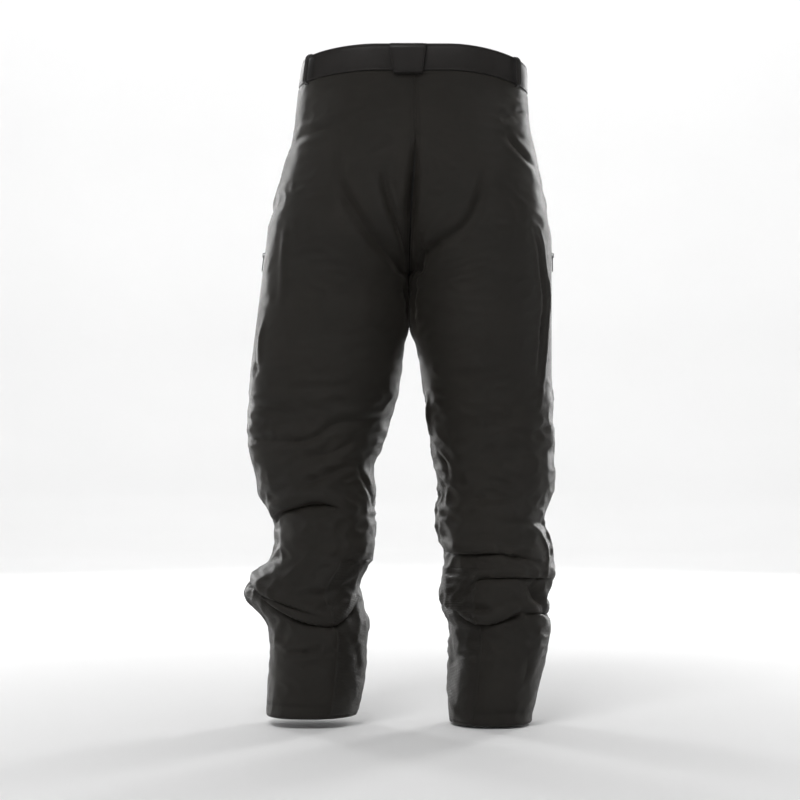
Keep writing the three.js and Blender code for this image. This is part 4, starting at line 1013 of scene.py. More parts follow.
def nearest_line(off, there):
    """The column of a table whose values are nearest 0 on average, over the places that are there."""
    count = there.sum(axis=0)
    mean = np.where(there, off, 0).sum(axis=0) / np.maximum(count, 1)
    far = np.abs(off).max() + 1
    return int(np.argmin(np.where(count > 0, np.abs(mean), far)))


def step_onto(off, slope, there):
    """The step that takes a row or column onto an edge, 0 where it isn't beside it."""
    return np.divide(off, slope, out=np.zeros(off.shape), where=there)


def meet_slot(skin, made, levels, us):
    """The rows and columns beside a zip's slot moved onto its edges."""
    for _ in range(2):
        x, y, z = np.moveaxis(made.local(skin.at(levels, us)), -1, 0)
        here = np.abs(z) < SLOT_NEAR
        along = here & (x > -SLOT_OVER) & (x < made.length + SLOT_OVER)
        for edge in (-ZIP_SLOT / 2, ZIP_SLOT / 2):
            off = y - edge
            i = nearest_line(off, along)
            if np.abs(off[:, i][along[:, i]]).min() < COLUMN:
                slope = (y[:, i + 1] - y[:, i - 1]) / (us[:, i + 1] - us[:, i - 1])
                us[:, i] -= step_onto(off[:, i], slope, along[:, i])
        across = here & (np.abs(y) < ZIP_SLOT / 2 + SLOT_BESIDE)
        for edge in (0.0, made.length):
            off = x - edge
            i = nearest_line(off.T, across.T)
            slope = (x[i + 1] - x[i - 1]) / (levels[i + 1] - levels[i - 1])
            levels[i] -= step_onto(off[i], slope, across[i])
    return levels, us


def add_panel(leg, name, bottom, top, low_u, high_u, holes=()):
    """A shell panel between seams, lined inside and open at its zips' slots."""
    levels, us = panel_grid(bottom + GAP / 2, top - GAP / 2, low_u, high_u)
    sunk = -pillow(levels, us, GIRTH, EDGE_ROLL, EDGE_DROP)
    if POCKETS[leg.name] in holes:
        levels, us = follow_pocket(levels, us)
    skin = SKINS[leg.name]
    for made in holes:
        levels, us = meet_slot(skin, made, levels, us)
    outer = skin.at(levels, us, sunk)
    inner = skin.at(levels, us, -SHELL_WALL)
    keep = np.ones((levels.shape[0] - 1, levels.shape[1] - 1), bool)
    for made in holes:
        keep &= ~inside_slot(made, outer)
    uvs = np.stack([us * GIRTH, levels], -1)
    node = f"{name}_{leg.name}"
    panel = layered(f"{node}_cloth", outer, inner, [SHELL, LINING, SHELL], keep=keep, uvs=uvs)
    declare(panel, "shell_fabric", node)


def inside_slot(made, points):
    """Which cells of a grid of points lie in a zip's slot."""
    local = made.local(points)
    middle = (local[:-1, :-1] + local[1:, :-1] + local[:-1, 1:] + local[1:, 1:]) / 4
    x, y, z = np.moveaxis(middle, -1, 0)
    return (np.abs(y) < ZIP_SLOT / 2) & (x > 0) & (x < made.length) & (np.abs(z) < SLOT_NEAR)


for leg in LEGS:
    waist_seam = -BAND_HEIGHT - GAP
    pocket, vent = POCKETS[leg.name], VENTS[leg.name]
    add_panel(leg, "back_panel", leg.hem, waist_seam, 0.5, 1.0, holes=[vent])
    add_panel(leg, "front_thigh_panel", KNEE_TOP, waist_seam, 0.0, 0.5, holes=[FLY, pocket, vent])
    add_panel(leg, "knee_panel", KNEE_BOTTOM, KNEE_TOP, 0.0, 0.5)
    add_panel(leg, "shin_panel", leg.hem, KNEE_BOTTOM, 0.0, 0.5)


# ---- Seam tapes --------------------------------------------------------------------------------

SEAM_TAPE_OFFSETS = np.array([-10.0, -6.0, -2.0, 2.0, 6.0, 10.0])
SEAM_TAPE_STEP = 4.0
KNEE_TAPE_END = 0.003  # the u that it stops short of the seams by
SEAM_TAPE_DEPTHS = (-SHELL_WALL - 0.05, -SHELL_WALL - 0.5)


def per_u(leg, level, u, other):
    """Millimetres to one u round a leg, measured between two us."""
    return np.linalg.norm(leg.base(level, u) - leg.base(level, other)) / abs(u - other)


def add_seam_tape(name, at):
    """A strip glued inside a seam, from at(depth), its grid of points at a depth."""
    outer, inner = (at(depth) for depth in SEAM_TAPE_DEPTHS)
    tape = layered(f"seam_tape_{name}", outer, inner, [TAPE] * 3)
    declare(tape, "zip_tape")


def tape_levels(top, bottom):
    """A column of evenly spaced levels."""
    return np.linspace(bottom, top, int((top - bottom) / SEAM_TAPE_STEP) + 1)[:, None]


def add_leg_tape(name, leg, u, top, bottom):
    """Tape down a leg at one u, which wraps round at the inseam."""
    levels = tape_levels(top, bottom)
    us = (u + SEAM_TAPE_OFFSETS / per_u(leg, (top + bottom) / 2, u, u + 0.02)) % 1
    add_seam_tape(f"{name}_{leg.name}", lambda depth: SKINS[leg.name].at(levels, us, depth))


def add_centre_tape(name, u, top, bottom):
    """Tape down the seam between the two halves, at u 0 in front or 1 behind."""
    levels = tape_levels(top, bottom)
    inset = SEAM_TAPE_OFFSETS[SEAM_TAPE_OFFSETS > 0] / per_u(LEFT, (top + bottom) / 2, u, abs(u - 0.02))
    us = np.abs(u - inset)

    def at(depth):
        left, right = (SKINS[leg.name].at(levels, us, depth) for leg in LEGS)
        return np.concatenate([left[:, ::-1], right], axis=1)

    add_seam_tape(name, at)


def add_knee_tape(name, leg, level):
    """Tape across the front of a leg."""
    us = np.linspace(KNEE_TAPE_END, 0.5 - KNEE_TAPE_END, 50)[:, None]
    levels = level + SEAM_TAPE_OFFSETS
    add_seam_tape(f"{name}_{leg.name}", lambda depth: SKINS[leg.name].at(levels, us, depth))


SEAM_TAPE_TOP = -BAND_HEIGHT - 3.1
add_centre_tape("centre_back", 1.0, SEAM_TAPE_TOP, CROTCH - 2)
add_centre_tape("centre_front", 0.0, FLY_BOTTOM - TAPE_TAIL - 4, CROTCH - 2)
for leg in LEGS:
    add_leg_tape("inseam", leg, 0.0, CROTCH - 3, leg.hem + 2)
    add_leg_tape("side_upper", leg, 0.5, SEAM_TAPE_TOP, VENT_TOP[0] + TAPE_TAIL + 4)
    add_leg_tape("side_lower", leg, 0.5, VENT_BOTTOM[0] - TAPE_TAIL - 4, leg.hem + 2)
    add_knee_tape("knee_top", leg, KNEE_TOP)
    add_knee_tape("knee_bottom", leg, KNEE_BOTTOM)


# ---- Waistband ---------------------------------------------------------------------------------


def u_at_x(leg, x, behind=False):
    """The u nearest the centre where the waist edge lies a distance x from it."""
    us = np.linspace(0, 0.5, 501)
    us = 1 - us if behind else us
    return float(us[np.argmax(np.abs(leg.base(0.0, us)[:, 0]) >= abs(x))])


def band_point(place, level, grow):
    """A point of the band at a place: (leg, u), or (None, x) on the flat under the tab."""
    leg, at = place
    if leg is not None:
        return SKINS[leg.name].at(level, at, grow)
    z = RIGHT.height(level, np.zeros(level.shape))
    return np.stack([np.full(level.shape, at), front_y(z) + grow, z], -1)


def band_places(start_x=HINGE_X - TAB_WALL / 2 - 0.4):
    """From beside the tab's hinge round the left side, back and right side, and under the tab."""
    start = u_at_x(LEFT, start_x)
    left = [(LEFT, u) for u in np.linspace(start, BAND_BACK_U, 120)]
    right = [(RIGHT, u) for u in np.linspace(BAND_BACK_U, BAND_FRONT_U, 134)]
    flat = [(None, x) for x in np.linspace(UNDERLAP_START, UNDERLAP_END, 12)]
    return left + right + flat


# Closed cross-sections as (distance outside the fabric, level).
BAND_SECTION = np.array([
    (-1.6, -39.0), (0.4, -39.0), (1.2, -38.4), (1.35, -37.0), (0.95, -35.4), (1.35, -33.8), (1.75, -30.0),
    (1.95, -24.0), (2.0, -19.0), (1.95, -13.0), (1.7, -8.0), (1.35, -5.2), (0.95, -3.7), (1.3, -2.3),
    (1.1, -1.0), (0.5, -0.3), (-0.4, 0.0), (-1.3, -0.3), (-2.0, -1.1), (-2.3, -2.6), (-2.3, -20.0),
    (-2.3, -37.6),
])
FACING_SECTION = np.array([
    (-2.7, -42.0), (-2.6, -40.0), (-2.6, -20.0), (-2.6, -3.4), (-2.9, -2.0), (-3.5, -1.6), (-4.0, -2.6),
    (-4.1, -5.0), (-4.1, -20.0), (-4.1, -39.5), (-3.6, -42.0),
])


def add_waistband():
    """The band, and the facing inside it."""

    def rings(section, places):
        return [band_point(place, section[:, 1], section[:, 0]) for place in places]

    band = closed_loft("waistband_cloth", rings(BAND_SECTION, band_places()), [BAND])
    declare(band, "band_fabric", "waistband")
    places = band_places(HINGE_X + 3.5)  # the facing also backs the tab's hinge
    facing = closed_loft("waistband_facing_cloth", rings(FACING_SECTION, places), [LINING])
    declare(facing, "lining", "waistband_facing")
    middle = [band_point(place, np.array([-20.0]), -3.0)[0] for place in places]


def rounded_strap(path, across, outward, widths, wall):
    """Rings of a strap with round edges. path holds its middle, in order along it."""
    corner = wall / 2
    turn = np.linspace(-np.pi / 2, np.pi / 2, 7)
    right = np.stack([corner * np.cos(turn), corner * np.sin(turn)], -1)
    rings = []
    for p, x, n, width in zip(path, across, outward, widths):
        half = width / 2 - corner
        outline = np.vstack([right + [half, 0], -right - [half, 0]])
        rings.append(p + outline[:, :1] * x + outline[:, 1:] * n)
    return np.array(rings)


LOOP_HALF = ((1.3, -0.9), (2.3, -1.1), (4.4, -2.6), (6.2, -5.2))  # its bent end, out and up from the edge
LOOP_TURN = 9.5  # it stands straight from here down
LOOP_STITCH_INSETS, LOOP_BAR_SHARE, LOOP_BAR_ROWS = (1.6, 2.8), 0.42, (5, -6)


def loop_path(name, leg, u, x):
    """The middle line of a belt loop on its CAD solid, its outward directions, and how far down it is."""
    top, bottom = (SKINS[leg.name].at(level, u, BAND_PROUD) for level in (0.0, -BAND_HEIGHT))
    if x is not None:
        top[0] = bottom[0] = x
    up = unit(top - bottom)
    around = leg.side * (leg.base(-BAND_HEIGHT / 2, u + 0.01) - leg.base(-BAND_HEIGHT / 2, u - 0.01))
    across = unit(around - up * (around @ up))
    out = np.cross(up, across)
    end = -(np.linalg.norm(top - bottom) + LOOP_OVERHANG)
    face = LOOP_STANDOFF + LOOP_WALL / 2
    half = [*LOOP_HALF, (face, -LOOP_TURN)]
    line = smooth_line(half + [(face, end / 2)] + [(n, end - h) for n, h in half[::-1]])
    slope = unit(np.gradient(line, axis=0))
    path = top + line[:, :1] * out + line[:, 1:] * up
    low, high = packed_box(name)
    path = path + (low + high) / 2 - (path.min(0) + path.max(0)) / 2
    return path, across, slope[:, :1] * up - slope[:, 1:] * out, line[:, 1] / end


def add_loop(name, leg, u, top_width, bottom_width, x=None):
    """A belt loop, standing off the band as its CAD solid does."""
    path, across, outward, down = loop_path(name, leg, u, x)
    widths = np.interp(down, [0, 1], [top_width, bottom_width])
    rings = rounded_strap(path, np.tile(across, (len(path), 1)), outward, widths, LOOP_WALL - 0.2)
    declare(closed_loft(f"{name}_strap", rings, [BAND]), "band_fabric", name)
    for inset in LOOP_STITCH_INSETS:
        for side in (-1, 1):
            edge = path + across * side * (widths[:, None] / 2 - inset) + outward * (LOOP_WALL / 2 - 0.1)
            THREADS["shell"].append((edge[4:-4], outward[4:-4]))
    shares = np.linspace(-LOOP_BAR_SHARE, LOOP_BAR_SHARE, 12)[:, None]
    for row in LOOP_BAR_ROWS:
        bar = shares * widths[row] * across + path[row] + outward[row] * LOOP_WALL / 2
        THREADS["shell"].append((bar, np.tile(outward[row], (len(bar), 1))))


THREADS = {"shell": [], "waist_tab": []}  # lines of topstitching, with outward directions


def add_loops():
    """The wide loop at the centre back and two narrow ones on each side."""
    add_loop("belt_loop_back_centre", LEFT, 0.97, BACK_LOOP_TOP, BACK_LOOP_BOTTOM, BACK_LOOP_X)
    for leg in LEGS:
        side = u_at_x(leg, SIDE_LOOP_X, behind=True)
        add_loop(f"belt_loop_back_{leg.name}", leg, side, LOOP_WIDTH, LOOP_WIDTH)
        add_loop(f"belt_loop_front_{leg.name}", leg, u_at_x(leg, FRONT_LOOP_X), LOOP_WIDTH, LOOP_WIDTH)


TAB_CORNER, TAB_ROUNDING = 9.0, 2.2  # radii of its outline's corners and of its rolled edge
TAB_CHANNEL, TAB_CHANNEL_AT, TAB_CHANNEL_WIDTH = 0.35, 3.6, 0.9  # the sewn line that dents it


def tab_path():
    """The tab's middle line in plan, from its sewn end out to its tip, and the height of its middle."""
    band_face = float(front_y(0)) + BAND_PROUD
    bottom_face = band_face + 3 * GAP + SNAP_BASE + SOCKET_WALL
    middle = bottom_face + TAB_WALL / 2
    hinge = np.array([HINGE_X, band_face - HINGE_INSET])
    rise = middle - hinge[1]
    bent = [hinge, hinge + [2.2, 2.2], hinge + [rise * 0.78, rise * 0.8], [HINGE_X + rise + 3, middle]]
    straight = np.linspace(HINGE_X + rise + 6, TAB_END, 36)
    path = np.vstack([smooth_line(bent), np.stack([straight, np.full(36, middle)], -1)])
    return path, middle, HINGE_X + rise


def add_tab():
    """The hinged end of the band, as a padded strap whose edges are rolled."""
    path, middle, bend_x = tab_path()
    travel = travelled(path)
    slope = unit(np.gradient(path, axis=0))
    normal = np.stack([-slope[:, 1], slope[:, 0]], -1)
    half = BAND_HEIGHT / 2
    over = np.maximum(travel - (travel[-1] - TAB_CORNER), 0)
    tall = half - (TAB_CORNER - np.sqrt(np.maximum(TAB_CORNER**2 - over**2, 0.2)))
    share = np.sin(np.linspace(-np.pi / 2, np.pi / 2, 31))
    z = -WAIST_DIP_FRONT - half + tall[None, :] * share[:, None]
    edge = np.minimum(tall[None, :] * (1 - np.abs(share[:, None])), (travel[-1] - travel)[None, :])
    edge = np.minimum(edge, travel[None, :] + 1.0)
    roundness = np.sqrt(np.clip(1 - (1 - np.clip(edge / TAB_ROUNDING, 0, 1)) ** 2, 0.0004, 1))
    channel = TAB_CHANNEL * np.exp(-(((edge - TAB_CHANNEL_AT) / TAB_CHANNEL_WIDTH) ** 2))
    thick = (TAB_WALL / 2) * roundness - channel

    def skin(sign):
        x = path[None, :, 0] + sign * thick * normal[None, :, 0]
        y = path[None, :, 1] + sign * thick * normal[None, :, 1]
        return np.stack([x, y, z], -1)

    uvs = np.stack(np.broadcast_arrays(travel[None, :], z), -1)
    tab = layered("waist_tab_cloth", skin(1), skin(-1), [BAND, LINING, BAND], uvs=uvs, sharp=80)
    declare(tab, "band_fabric", "waist_tab", body="waist_tab")
    stitch_tab(middle + TAB_WALL / 2 - 0.15, bend_x + 4)


def stitch_tab(face, start_x):
    """Topstitching in the tab's channel, round its tip with cut corners."""
    end_x, cut = TAB_END - TAB_CHANNEL_AT, 5.0
    top = -WAIST_DIP_FRONT - TAB_CHANNEL_AT
    bottom = top - BAND_HEIGHT + 2 * TAB_CHANNEL_AT
    outline = [
        (start_x, face, bottom), (end_x - cut, face, bottom), (end_x, face, bottom + cut),
        (end_x, face, top - cut), (end_x - cut, face, top), (start_x, face, top),
    ]
    outline = np.vstack([np.linspace(a, b, 12) for a, b in zip(outline, outline[1:])])
    THREADS["waist_tab"].append((outline, np.tile([0.0, 1.0, 0.0], (len(outline), 1))))


def lathe(name, profile, centre, axis, materials, steps=48):
    """A turned solid. The profile's points are (radius, distance along the axis), ends on the axis."""
    axis = unit(np.array(axis, float))
    side = unit(np.cross(axis, [0.3, 0.1, 1.0]))
    other = np.cross(axis, side)
    turns = np.linspace(0, 2 * np.pi, steps, endpoint=False)
    ring = np.cos(turns)[:, None] * side + np.sin(turns)[:, None] * other
    rings = [np.array(centre) + axis * h + ring * max(r, 0.02) for r, h in profile]
    return closed_loft(name, rings, materials, sharp=40)


SNAP_PROFILE = (
    (7.0, 0.0), (7.5, 0.35), (7.5, 0.8), (7.2, 1.25), (6.7, 1.4), (6.2, 1.25), (5.8, 0.95), (5.4, 1.1),
    (4.6, 1.35), (3.2, 1.52), (1.6, 1.6), (0.0, 1.62),
)


def add_snaps():
    """Domed caps on the snaps, whose CAD solids are plain."""
    for i in SNAPS:
        low, high = packed_box(f"snap_cap_{i}")
        centre = [(low[0] + high[0]) / 2, low[1], (low[2] + high[2]) / 2]
        cap = lathe(f"snap_cap_{i}_dome", SNAP_PROFILE, centre, (0, 1, 0), [METAL])
        declare(cap, "metal", f"snap_cap_{i}", body="waist_tab")


add_waistband()
add_loops()
add_tab()
add_snaps()


# ---- Inner pieces and ankles -------------------------------------------------------------------


def add_patch(leg, node, slot, levels, us, depths, material, spacing=4.0, edge=(3.0, 0.8)):
    """A sheet over a leg's levels and us, between two distances outside the fabric's face.

    Its edges sink within a width, by a drop. Returns the girth that us are taken of.
    """
    girth = leg.girth(sum(levels) / 2)
    rows = lines(*levels, spacing)
    columns = lines(us[0] * girth, us[1] * girth, spacing) / girth
    rows, columns = np.meshgrid(rows, columns, indexing="ij")
    skin = SKINS[leg.name]
    wrapped = np.where(columns > 1, columns - 1, columns)
    outer = skin.at(rows, wrapped, depths[0] - pillow(rows, columns, girth, *edge))
    inner = skin.at(rows, wrapped, depths[1])
    uvs = np.stack([columns * girth, rows], -1)
    sheet = layered(f"{node}_{leg.name}_cloth", outer, inner, [material] * 3, uvs=uvs)
    declare(sheet, slot, f"{node}_{leg.name}")
    return girth


SCUFF_STITCH_INSETS, SCUFF_STITCH_POINTS, SCUFF_STITCH_GROW = (3.0, 5.4), 80, 1.15


def add_scuff_guard(leg):
    bottom, top = leg.hem + SCUFF_LIFT, leg.hem + SCUFF_LIFT + SCUFF_HEIGHT
    us = (SCUFF_BACK_U, 1 + SCUFF_FRONT_U)
    girth = add_patch(
        leg, "scuff_guard", "scuff_fabric", (bottom, top), us, (GAP + SCUFF_WALL - 0.3, GAP), SCUFF,
        edge=(2.5, 1.0),
    )
    for inset in SCUFF_STITCH_INSETS:
        low_u, high_u = us[0] + inset / girth, us[1] - inset / girth
        across = np.linspace(low_u, high_u, SCUFF_STITCH_POINTS)
        up = np.linspace(bottom + inset, top - inset, SCUFF_STITCH_POINTS)
        stitch_line(leg, np.full(across.shape, top - inset), across, SCUFF_STITCH_GROW)
        for u in (low_u, high_u):
            stitch_line(leg, up, np.full(up.shape, u), SCUFF_STITCH_GROW)


def add_pocket_bag(leg):
    under = -(WALL + GAP)
    add_patch(
        leg, "pocket_bag", "lining", BAG_LEVELS, BAG_US, (under, under - 2.6), LINING,
        spacing=7, edge=(5.0, 1.2),
    )


def add_vent_mesh(leg):
    levels = (VENT_BOTTOM[0] - MESH_MARGIN, VENT_TOP[0] + MESH_MARGIN)
    us = (0.5 - MESH_HALF_U, 0.5 + MESH_HALF_U)
    add_patch(
        leg, "vent_mesh", "mesh", levels, us, (-4.8, -5.8), MESH_CLOTH, edge=(2.0, 0.3)
    )


GAITER_ROWS, GAITER_COLUMNS, GAITER_GIRTH = 56, 270, 450
GATHERS, GATHER_DEPTH = 27, 2.6
RIBS, RIB_DEPTH = 72, 0.35


def ankle_ring(leg, turns, grow, z):
    """Points of the gaiter's oval opening."""
    bottom = leg.hem + GAITER_LIFT
    centre = (leg.base(bottom, 0.5) + leg.base(bottom, 0.0)) / 2
    x = centre[0] - leg.side * (GAITER_HALF_WIDTH + grow) * np.cos(turns)
    return np.stack([x, centre[1] + (GAITER_HALF_DEPTH + grow) * np.sin(turns), z], -1)


def gathers(turn, level, bottom, free):
    """How far the gaiter is drawn in between its gathers, which are uneven and held by the elastic."""
    uneven = np.random.default_rng(WRINKLE_SEED + 30).uniform(0.55, 1.1, GATHERS)
    place = turn / (2 * np.pi) * GATHERS % GATHERS
    strength = np.interp(place.ravel(), np.arange(GATHERS), uneven).reshape(turn.shape)
    held = 1 - 0.75 * (1 - smooth((level - bottom) / (ELASTIC_HEIGHT * 1.3)))
    return GATHER_DEPTH * free * held * strength * (np.cos(GATHERS * turn + 1.2 * np.sin(3 * turn)) - 1)


def add_gaiter(leg):
    """The inner cuff, sewn to the lining at its top and gathered into elastic at its bottom."""
    bottom = leg.hem + GAITER_LIFT
    top = bottom + GAITER_HEIGHT
    levels, us = np.linspace(bottom, top, GAITER_ROWS), np.linspace(0, 1, GAITER_COLUMNS, endpoint=False)
    level, u = np.meshgrid(levels, us, indexing="ij")
    free = 1 - smooth((level - bottom - ELASTIC_HEIGHT) / (GAITER_HEIGHT - ELASTIC_HEIGHT))
    turn = 2 * np.pi * u
    gather = gathers(turn, level, bottom, free)

    def skin(grow):
        lining = SKINS[leg.name].at(level, u, grow - WALL - GAP)
        ankle = ankle_ring(leg, turn, grow + gather, lining[..., 2])
        return lining + free[..., None] * (ankle - lining)

    uvs = np.stack([u * GAITER_GIRTH, level], -1)
    name = f"gaiter_{leg.name}"
    gaiter = layered(f"{name}_cloth", skin(-0.2), skin(-1.1), [LINING] * 3, ring=True, uvs=uvs, sharp=70)
    declare(gaiter, "lining", name)
    leg.girth(top)
    add_elastic(leg, bottom)


def add_elastic(leg, bottom):
    """The ribbed elastic round the gaiter's opening."""
    turn = np.linspace(0, 2 * np.pi, 6 * RIBS, endpoint=False)
    rib = RIB_DEPTH * (np.cos(RIBS * turn) - 1)
    h = ELASTIC_HEIGHT - 1
    section = [(0.5, 0.0), (1.5, 0.2), (2.1, 1.0), (2.3, 3.0), (2.3, h / 2), (2.3, h - 3.0), (2.1, h - 1.0)]
    section += [(1.5, h - 0.2), (0.5, h), (0.3, h - 1.0), (0.3, h / 2), (0.3, 1.0)]
    rows = []
    for grow, rise in section:
        z = leg.height(bottom + GAP + rise, turn / (2 * np.pi))
        rows.append(ankle_ring(leg, turn, grow + (rib if grow > 1 else 0.0), z))
    rings = np.array(rows).transpose(1, 0, 2)
    elastic = closed_loft(f"gaiter_elastic_{leg.name}_band", rings, [WEBBING], ring=True)
    declare(elastic, "webbing", f"gaiter_elastic_{leg.name}")


def add_fly_shield():
    """The lining strip behind the fly zip."""
    y, x = np.meshgrid(
        np.linspace(-SHIELD_WIDTH / 2, SHIELD_WIDTH / 2, 15), np.linspace(-SHIELD_TAIL, FLY.length, 44),
        indexing="ij",
    )
    top = -(WALL + GAP + TAPE_WALL + GAP)
    edge = np.minimum(SHIELD_WIDTH / 2 - np.abs(y), np.minimum(x + SHIELD_TAIL, FLY.length - x))
    soft = 0.7 * (1 - smooth(edge / 4)) + 0.25 * np.sin(x / 7) * np.sin(y / 9) ** 2
    outer = FLY.world(np.stack([x, y, top - 0.1 - soft], -1))
    inner = FLY.world(np.stack([x, y, np.full(x.shape, top - SHIELD_WALL)], -1))
    shield = layered("fly_shield_cloth", outer, inner, [LINING] * 3, uvs=np.stack([x, y], -1))
    declare(shield, "lining", "fly_shield")


# ---- Stitching ---------------------------------------------------------------------------------

STITCH_PITCH, STITCH_LENGTH, STITCH_RADIUS = 3.4, 2.5, 0.34
SEAM_STITCH = 2.8  # from a seam to its first line of stitches, a third of the way to its second
HEM_STITCH_RISES = (3.0, 19.0, 22.0)
SLOT_STITCH, SLOT_STITCH_BELOW, SLOT_STITCH_ABOVE = 2.6, 4.4, 3.4  # from a slot's sides and ends
BAND_STITCH_LEVELS = (-35.4, -3.7)  # the band's two grooves


def stitch_line(leg, levels, us, grow=0.1):
    """A line of topstitching over (level, u) places of a leg."""
    us = np.where(us > 1, us - 1, us)
    skin = SKINS[leg.name]
    points = skin.at(levels, us, grow)
    THREADS["shell"].append((points, unit(skin.at(levels, us, grow + 1) - points)))


def stitch_slot(made):
    """Topstitching round a zip's slot."""
    out = ZIP_SLOT / 2 + SLOT_STITCH
    low, high = -SLOT_STITCH_BELOW, made.length + SLOT_STITCH_ABOVE
    ends = [(low, -out), (low, out), (high, out), (high, -out), (low, -out)]
    local = np.vstack([np.linspace(a, b, 40) for a, b in zip(ends, ends[1:])])
    height = -(local[:, 1] ** 2) / (2 * ZIP_CROWN) + 0.1
    points = made.world(np.column_stack([local, height]))
    THREADS["shell"].append((points, np.tile(made.z, (len(points), 1))))


def stitched_seams(leg):
    """Topstitching beside a leg's seams, which leaves out the vent's slot, and round its hem."""
    seam = SEAM_STITCH / GIRTH
    down = np.linspace(-BAND_HEIGHT - 3, leg.hem + 3, 300)
    below_crotch, above_crotch = down[down < CROTCH - 6], down[down > CROTCH + 4]

    def stitch_down(levels, u):
        stitch_line(leg, levels, np.full(levels.shape, u))

    def stitch_round(level, us):
        stitch_line(leg, np.full(us.shape, level), us)

    for run in (down[down > VENT_TOP[0] + 5], down[down < VENT_BOTTOM[0] - 6]):
        for offset in (seam, 3 * seam):
            stitch_down(run, 0.5 + offset)
    stitch_down(below_crotch, 1 - seam)
    for offset in (seam, 3 * seam):
        stitch_down(above_crotch, 1 - offset)
    stitch_down(above_crotch[above_crotch < FLY_BOTTOM - 14], seam)
    front, back = np.linspace(seam, 0.5 - seam, 120), np.linspace(0.5 + seam, 1 - seam, 120)
    for knee in (KNEE_TOP, KNEE_BOTTOM):
        for away in (SEAM_STITCH, 3 * SEAM_STITCH):
            stitch_round(knee - away, front)
    for us in (front, back):
        for rise in HEM_STITCH_RISES:
            stitch_round(leg.hem + rise, us)


def stitched_band():
    """Topstitching along the band."""
    places = band_places()
    for level in BAND_STITCH_LEVELS:
        at = np.array([level])
        points, beyond = (np.array([band_point(p, at, grow)[0] for p in places]) for grow in (1.0, 2.0))
        THREADS["shell"].append((points, unit(beyond - points)))


def capsule():
    """Points and faces of one stitch, along x with its round side up."""
    turns = np.linspace(0, 2 * np.pi, 6, endpoint=False)
    stations = [(-0.5, 0.3), (-0.36, 0.95), (0.0, 1.05), (0.36, 0.95), (0.5, 0.3)]
    points = [
        (x * STITCH_LENGTH, STITCH_RADIUS * r * np.cos(t), STITCH_RADIUS * r * np.sin(t))
        for x, r in stations for t in turns
    ]
    faces = grid_faces(len(stations), len(turns), ring=True).tolist()
    last = len(points)
    faces += [list(range(6))[::-1], list(range(last - 6, last))]
    return np.array(points), faces


def add_threads(body):
    """All the topstitching that rides on one body, as one piece."""
    shape, faces = capsule()
    points, total = [], []
    for line, outward in THREADS[body]:
        travel = travelled(line)
        at = np.arange(STITCH_PITCH / 2, travel[-1], STITCH_PITCH)
        place, behind, ahead = (read_along(line, travel, at + step) for step in (0, -0.5, 0.5))
        along = unit(ahead - behind)
        side = unit(np.cross(read_along(outward, travel, at), along))
        up = np.cross(along, side)
        for p, x, y, z in zip(place, along, side, up):
            total += [[i + len(points) * len(shape) for i in face] for face in faces]
            points.append(p + shape[:, :1] * x + shape[:, 1:2] * y + shape[:, 2:] * z)
    threads = mesh_object(f"topstitching_{body}", np.vstack(points), total, [THREAD], sharp=180)
    declare(threads, "shell_fabric" if body == "shell" else "band_fabric", body=body)


# ---- Zips --------------------------------------------------------------------------------------

COIL_SIDES = 8
TOOTH_PITCH, TOOTH_DEPTH, TOOTH_HEIGHT = 1.5, 0.3596, 0.9975
# One tooth as (distance across the zip, share of its size), from the cord to the other side's teeth.
TOOTH_PROFILE = (
    (-2.75, 0.35), (-2.5, 0.85), (-1.4, 1.0), (0.2, 1.0), (0.75, 1.05), (1.1, 0.95), (1.35, 0.45),
)
CORD_AWAY, CORD_RADIUS, CORD_HEIGHT = 2.25, 0.5, 0.95


def add_coil(made):
    """A nylon coil: interlocked turns between two cords, which replaces the plain chain."""
    middle = -WALL + CHAIN_WALL / 2
    turns = np.linspace(0, 2 * np.pi, COIL_SIDES, endpoint=False)
    ring = np.stack([np.cos(turns), np.sin(turns)], -1)
    points, faces = [], []

    def add_tube(tube):
        """Points of a tube, ring after ring, and faces that close it."""
        start, last = len(points), len(tube) - COIL_SIDES
        caps = [list(range(COIL_SIDES))[::-1], list(range(last, len(tube)))]
        walls = grid_faces(len(tube) // COIL_SIDES, COIL_SIDES, ring=True).tolist()
        points.extend(tube)
        faces.extend([start + k for k in face] for face in walls + caps)

    count = int((made.length - 2 * GAP - 2) / TOOTH_PITCH)
    for i in range(2 * count):
        x = GAP + 1 + (i // 2 + 0.5 * (i % 2)) * TOOTH_PITCH
        side = 1 if i % 2 else -1
        add_tube([
            (x + TOOTH_DEPTH * r * c * side, side * y, middle + TOOTH_HEIGHT * r * s)
            for y, r in TOOTH_PROFILE for c, s in ring
        ])
    for side in (-1, 1):
        add_tube([
            (x, side * (CORD_AWAY + CORD_RADIUS * c), middle + CORD_HEIGHT * s)
            for x in (GAP, made.length - GAP) for c, s in ring
        ])
    name = made.node("chain")
    coil = mesh_object(f"{name}_coil", made.world(points), faces, [PLASTIC], sharp=60)
    declare(coil, "zip_plastic", name)


def finish_node(name, material, bevel):
    """A CAD node that stays: rounded edges and its own finish."""
    node = bpy.data.objects[name]
    node.data.materials.clear()
    node.data.materials.append(material)
    rounding = node.modifiers.new("rounded_edges", "BEVEL")
    rounding.width, rounding.segments, rounding.limit_method = bevel * MM, 3, "ANGLE"
    rounding.angle_limit = np.radians(35)


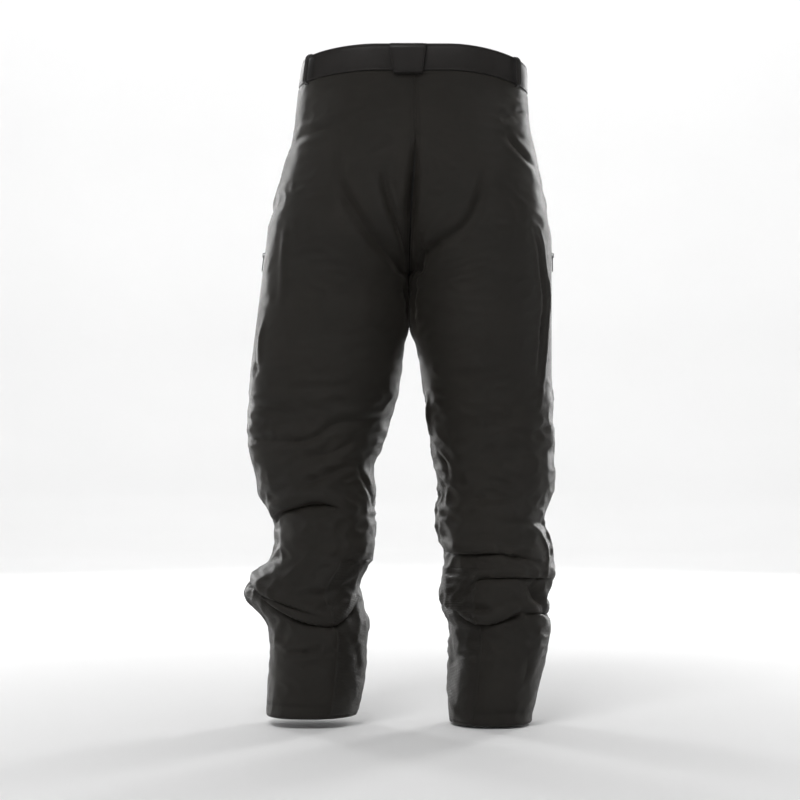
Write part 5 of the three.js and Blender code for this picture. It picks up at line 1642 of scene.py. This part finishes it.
for leg in LEGS:
    add_scuff_guard(leg)
    add_pocket_bag(leg)
    add_vent_mesh(leg)
    add_gaiter(leg)
    stitched_seams(leg)
    finish_node(f"gaiter_hook_{leg.name}", METAL, 0.35)
add_fly_shield()
stitched_band()
for made in (FLY, *POCKETS.values(), *VENTS.values()):
    stitch_slot(made)
    add_coil(made)
    finish_node(made.node("tape"), TAPE, 0.2)
    finish_node(made.node("slider"), METAL, 0.3)
    finish_node(made.node("pull"), PLASTIC, 0.3)
for i in SNAPS:
    finish_node(f"snap_socket_{i}", METAL, 0.3)
    finish_node(f"snap_stud_{i}", METAL, 0.3)
for body in THREADS:
    add_threads(body)


# ---- Stage -------------------------------------------------------------------------------------

CAMERA = np.array([-19.5, -4200.0, -510.0])
SENSOR, LENS = 36.0, 126.0
FLOOR = -0.992  # metres, just under the hems


def add_camera():
    """A long lens, level and square behind the wearer."""
    data = bpy.data.cameras.new("camera")
    data.sensor_width, data.lens = SENSOR, LENS
    data.clip_end = 50
    camera = bpy.data.objects.new("camera", data)
    camera.location = CAMERA * MM
    camera.rotation_euler = (np.pi / 2, 0, 0)
    bpy.context.scene.collection.objects.link(camera)
    bpy.context.scene.camera = camera


def add_light(name, place, target, size, power):
    """A soft light at a place in metres, which the camera doesn't see."""
    data = bpy.data.lights.new(name, "AREA")
    data.shape, data.size, data.size_y, data.energy = "RECTANGLE", size[0], size[1], power
    light = bpy.data.objects.new(name, data)
    light.location = place
    aim = np.array(target) - place
    light.rotation_euler = Vector(aim).to_track_quat("-Z", "Y").to_euler()
    light.visible_camera = False
    bpy.context.scene.collection.objects.link(light)


def add_stage():
    """A pale floor that curves up into a backdrop all round, behind the camera too."""
    shader = Shader("pale_floor")
    tone = shader.noise(shader.object_place(), 1.5, 2.0)
    colour = shader.mix(tone, (0.80, 0.80, 0.80), (0.84, 0.84, 0.84))
    shader.surface(Base_Color=colour, Roughness=0.7)
    rings = [(3, 0), (5, 0), (6, 0.15), (6.7, 0.7), (7, 1.5), (7, 6)]  # (radius, height) in metres
    turns = np.linspace(0, 2 * np.pi, 48, endpoint=False)
    points = np.array([[r * np.cos(t), r * np.sin(t), FLOOR + h] for r, h in rings for t in turns])
    faces = grid_faces(len(rings), len(turns), ring=True).tolist()
    faces.append(list(range(len(turns)))[::-1])
    floor = mesh_object("floor", points / MM, faces, [shader.material])


def add_world():
    world = bpy.data.worlds.new("studio")
    world.use_nodes = True
    background = world.node_tree.nodes["Background"]
    background.inputs["Color"].default_value = (1.0, 1.0, 1.0, 1.0)
    background.inputs["Strength"].default_value = 0.32
    bpy.context.scene.world = world


add_camera()
add_stage()
add_world()
add_light("left_softbox", (-1.7, 3.0, 0.2), (0, 0, -0.5), (0.5, 2.0), 42)
add_light("right_softbox", (1.7, 3.0, 0.2), (0, 0, -0.5), (0.5, 2.0), 52)
add_light("camera_softbox", (-0.8, -2.6, 2.4), (0, 0, -0.5), (1.6, 1.0), 66)
add_light("backdrop_light", (0.0, 3.0, 3.4), (0, 7, 0.4), (4.0, 1.0), 170)
bpy.context.scene.view_settings.view_transform = "Standard"
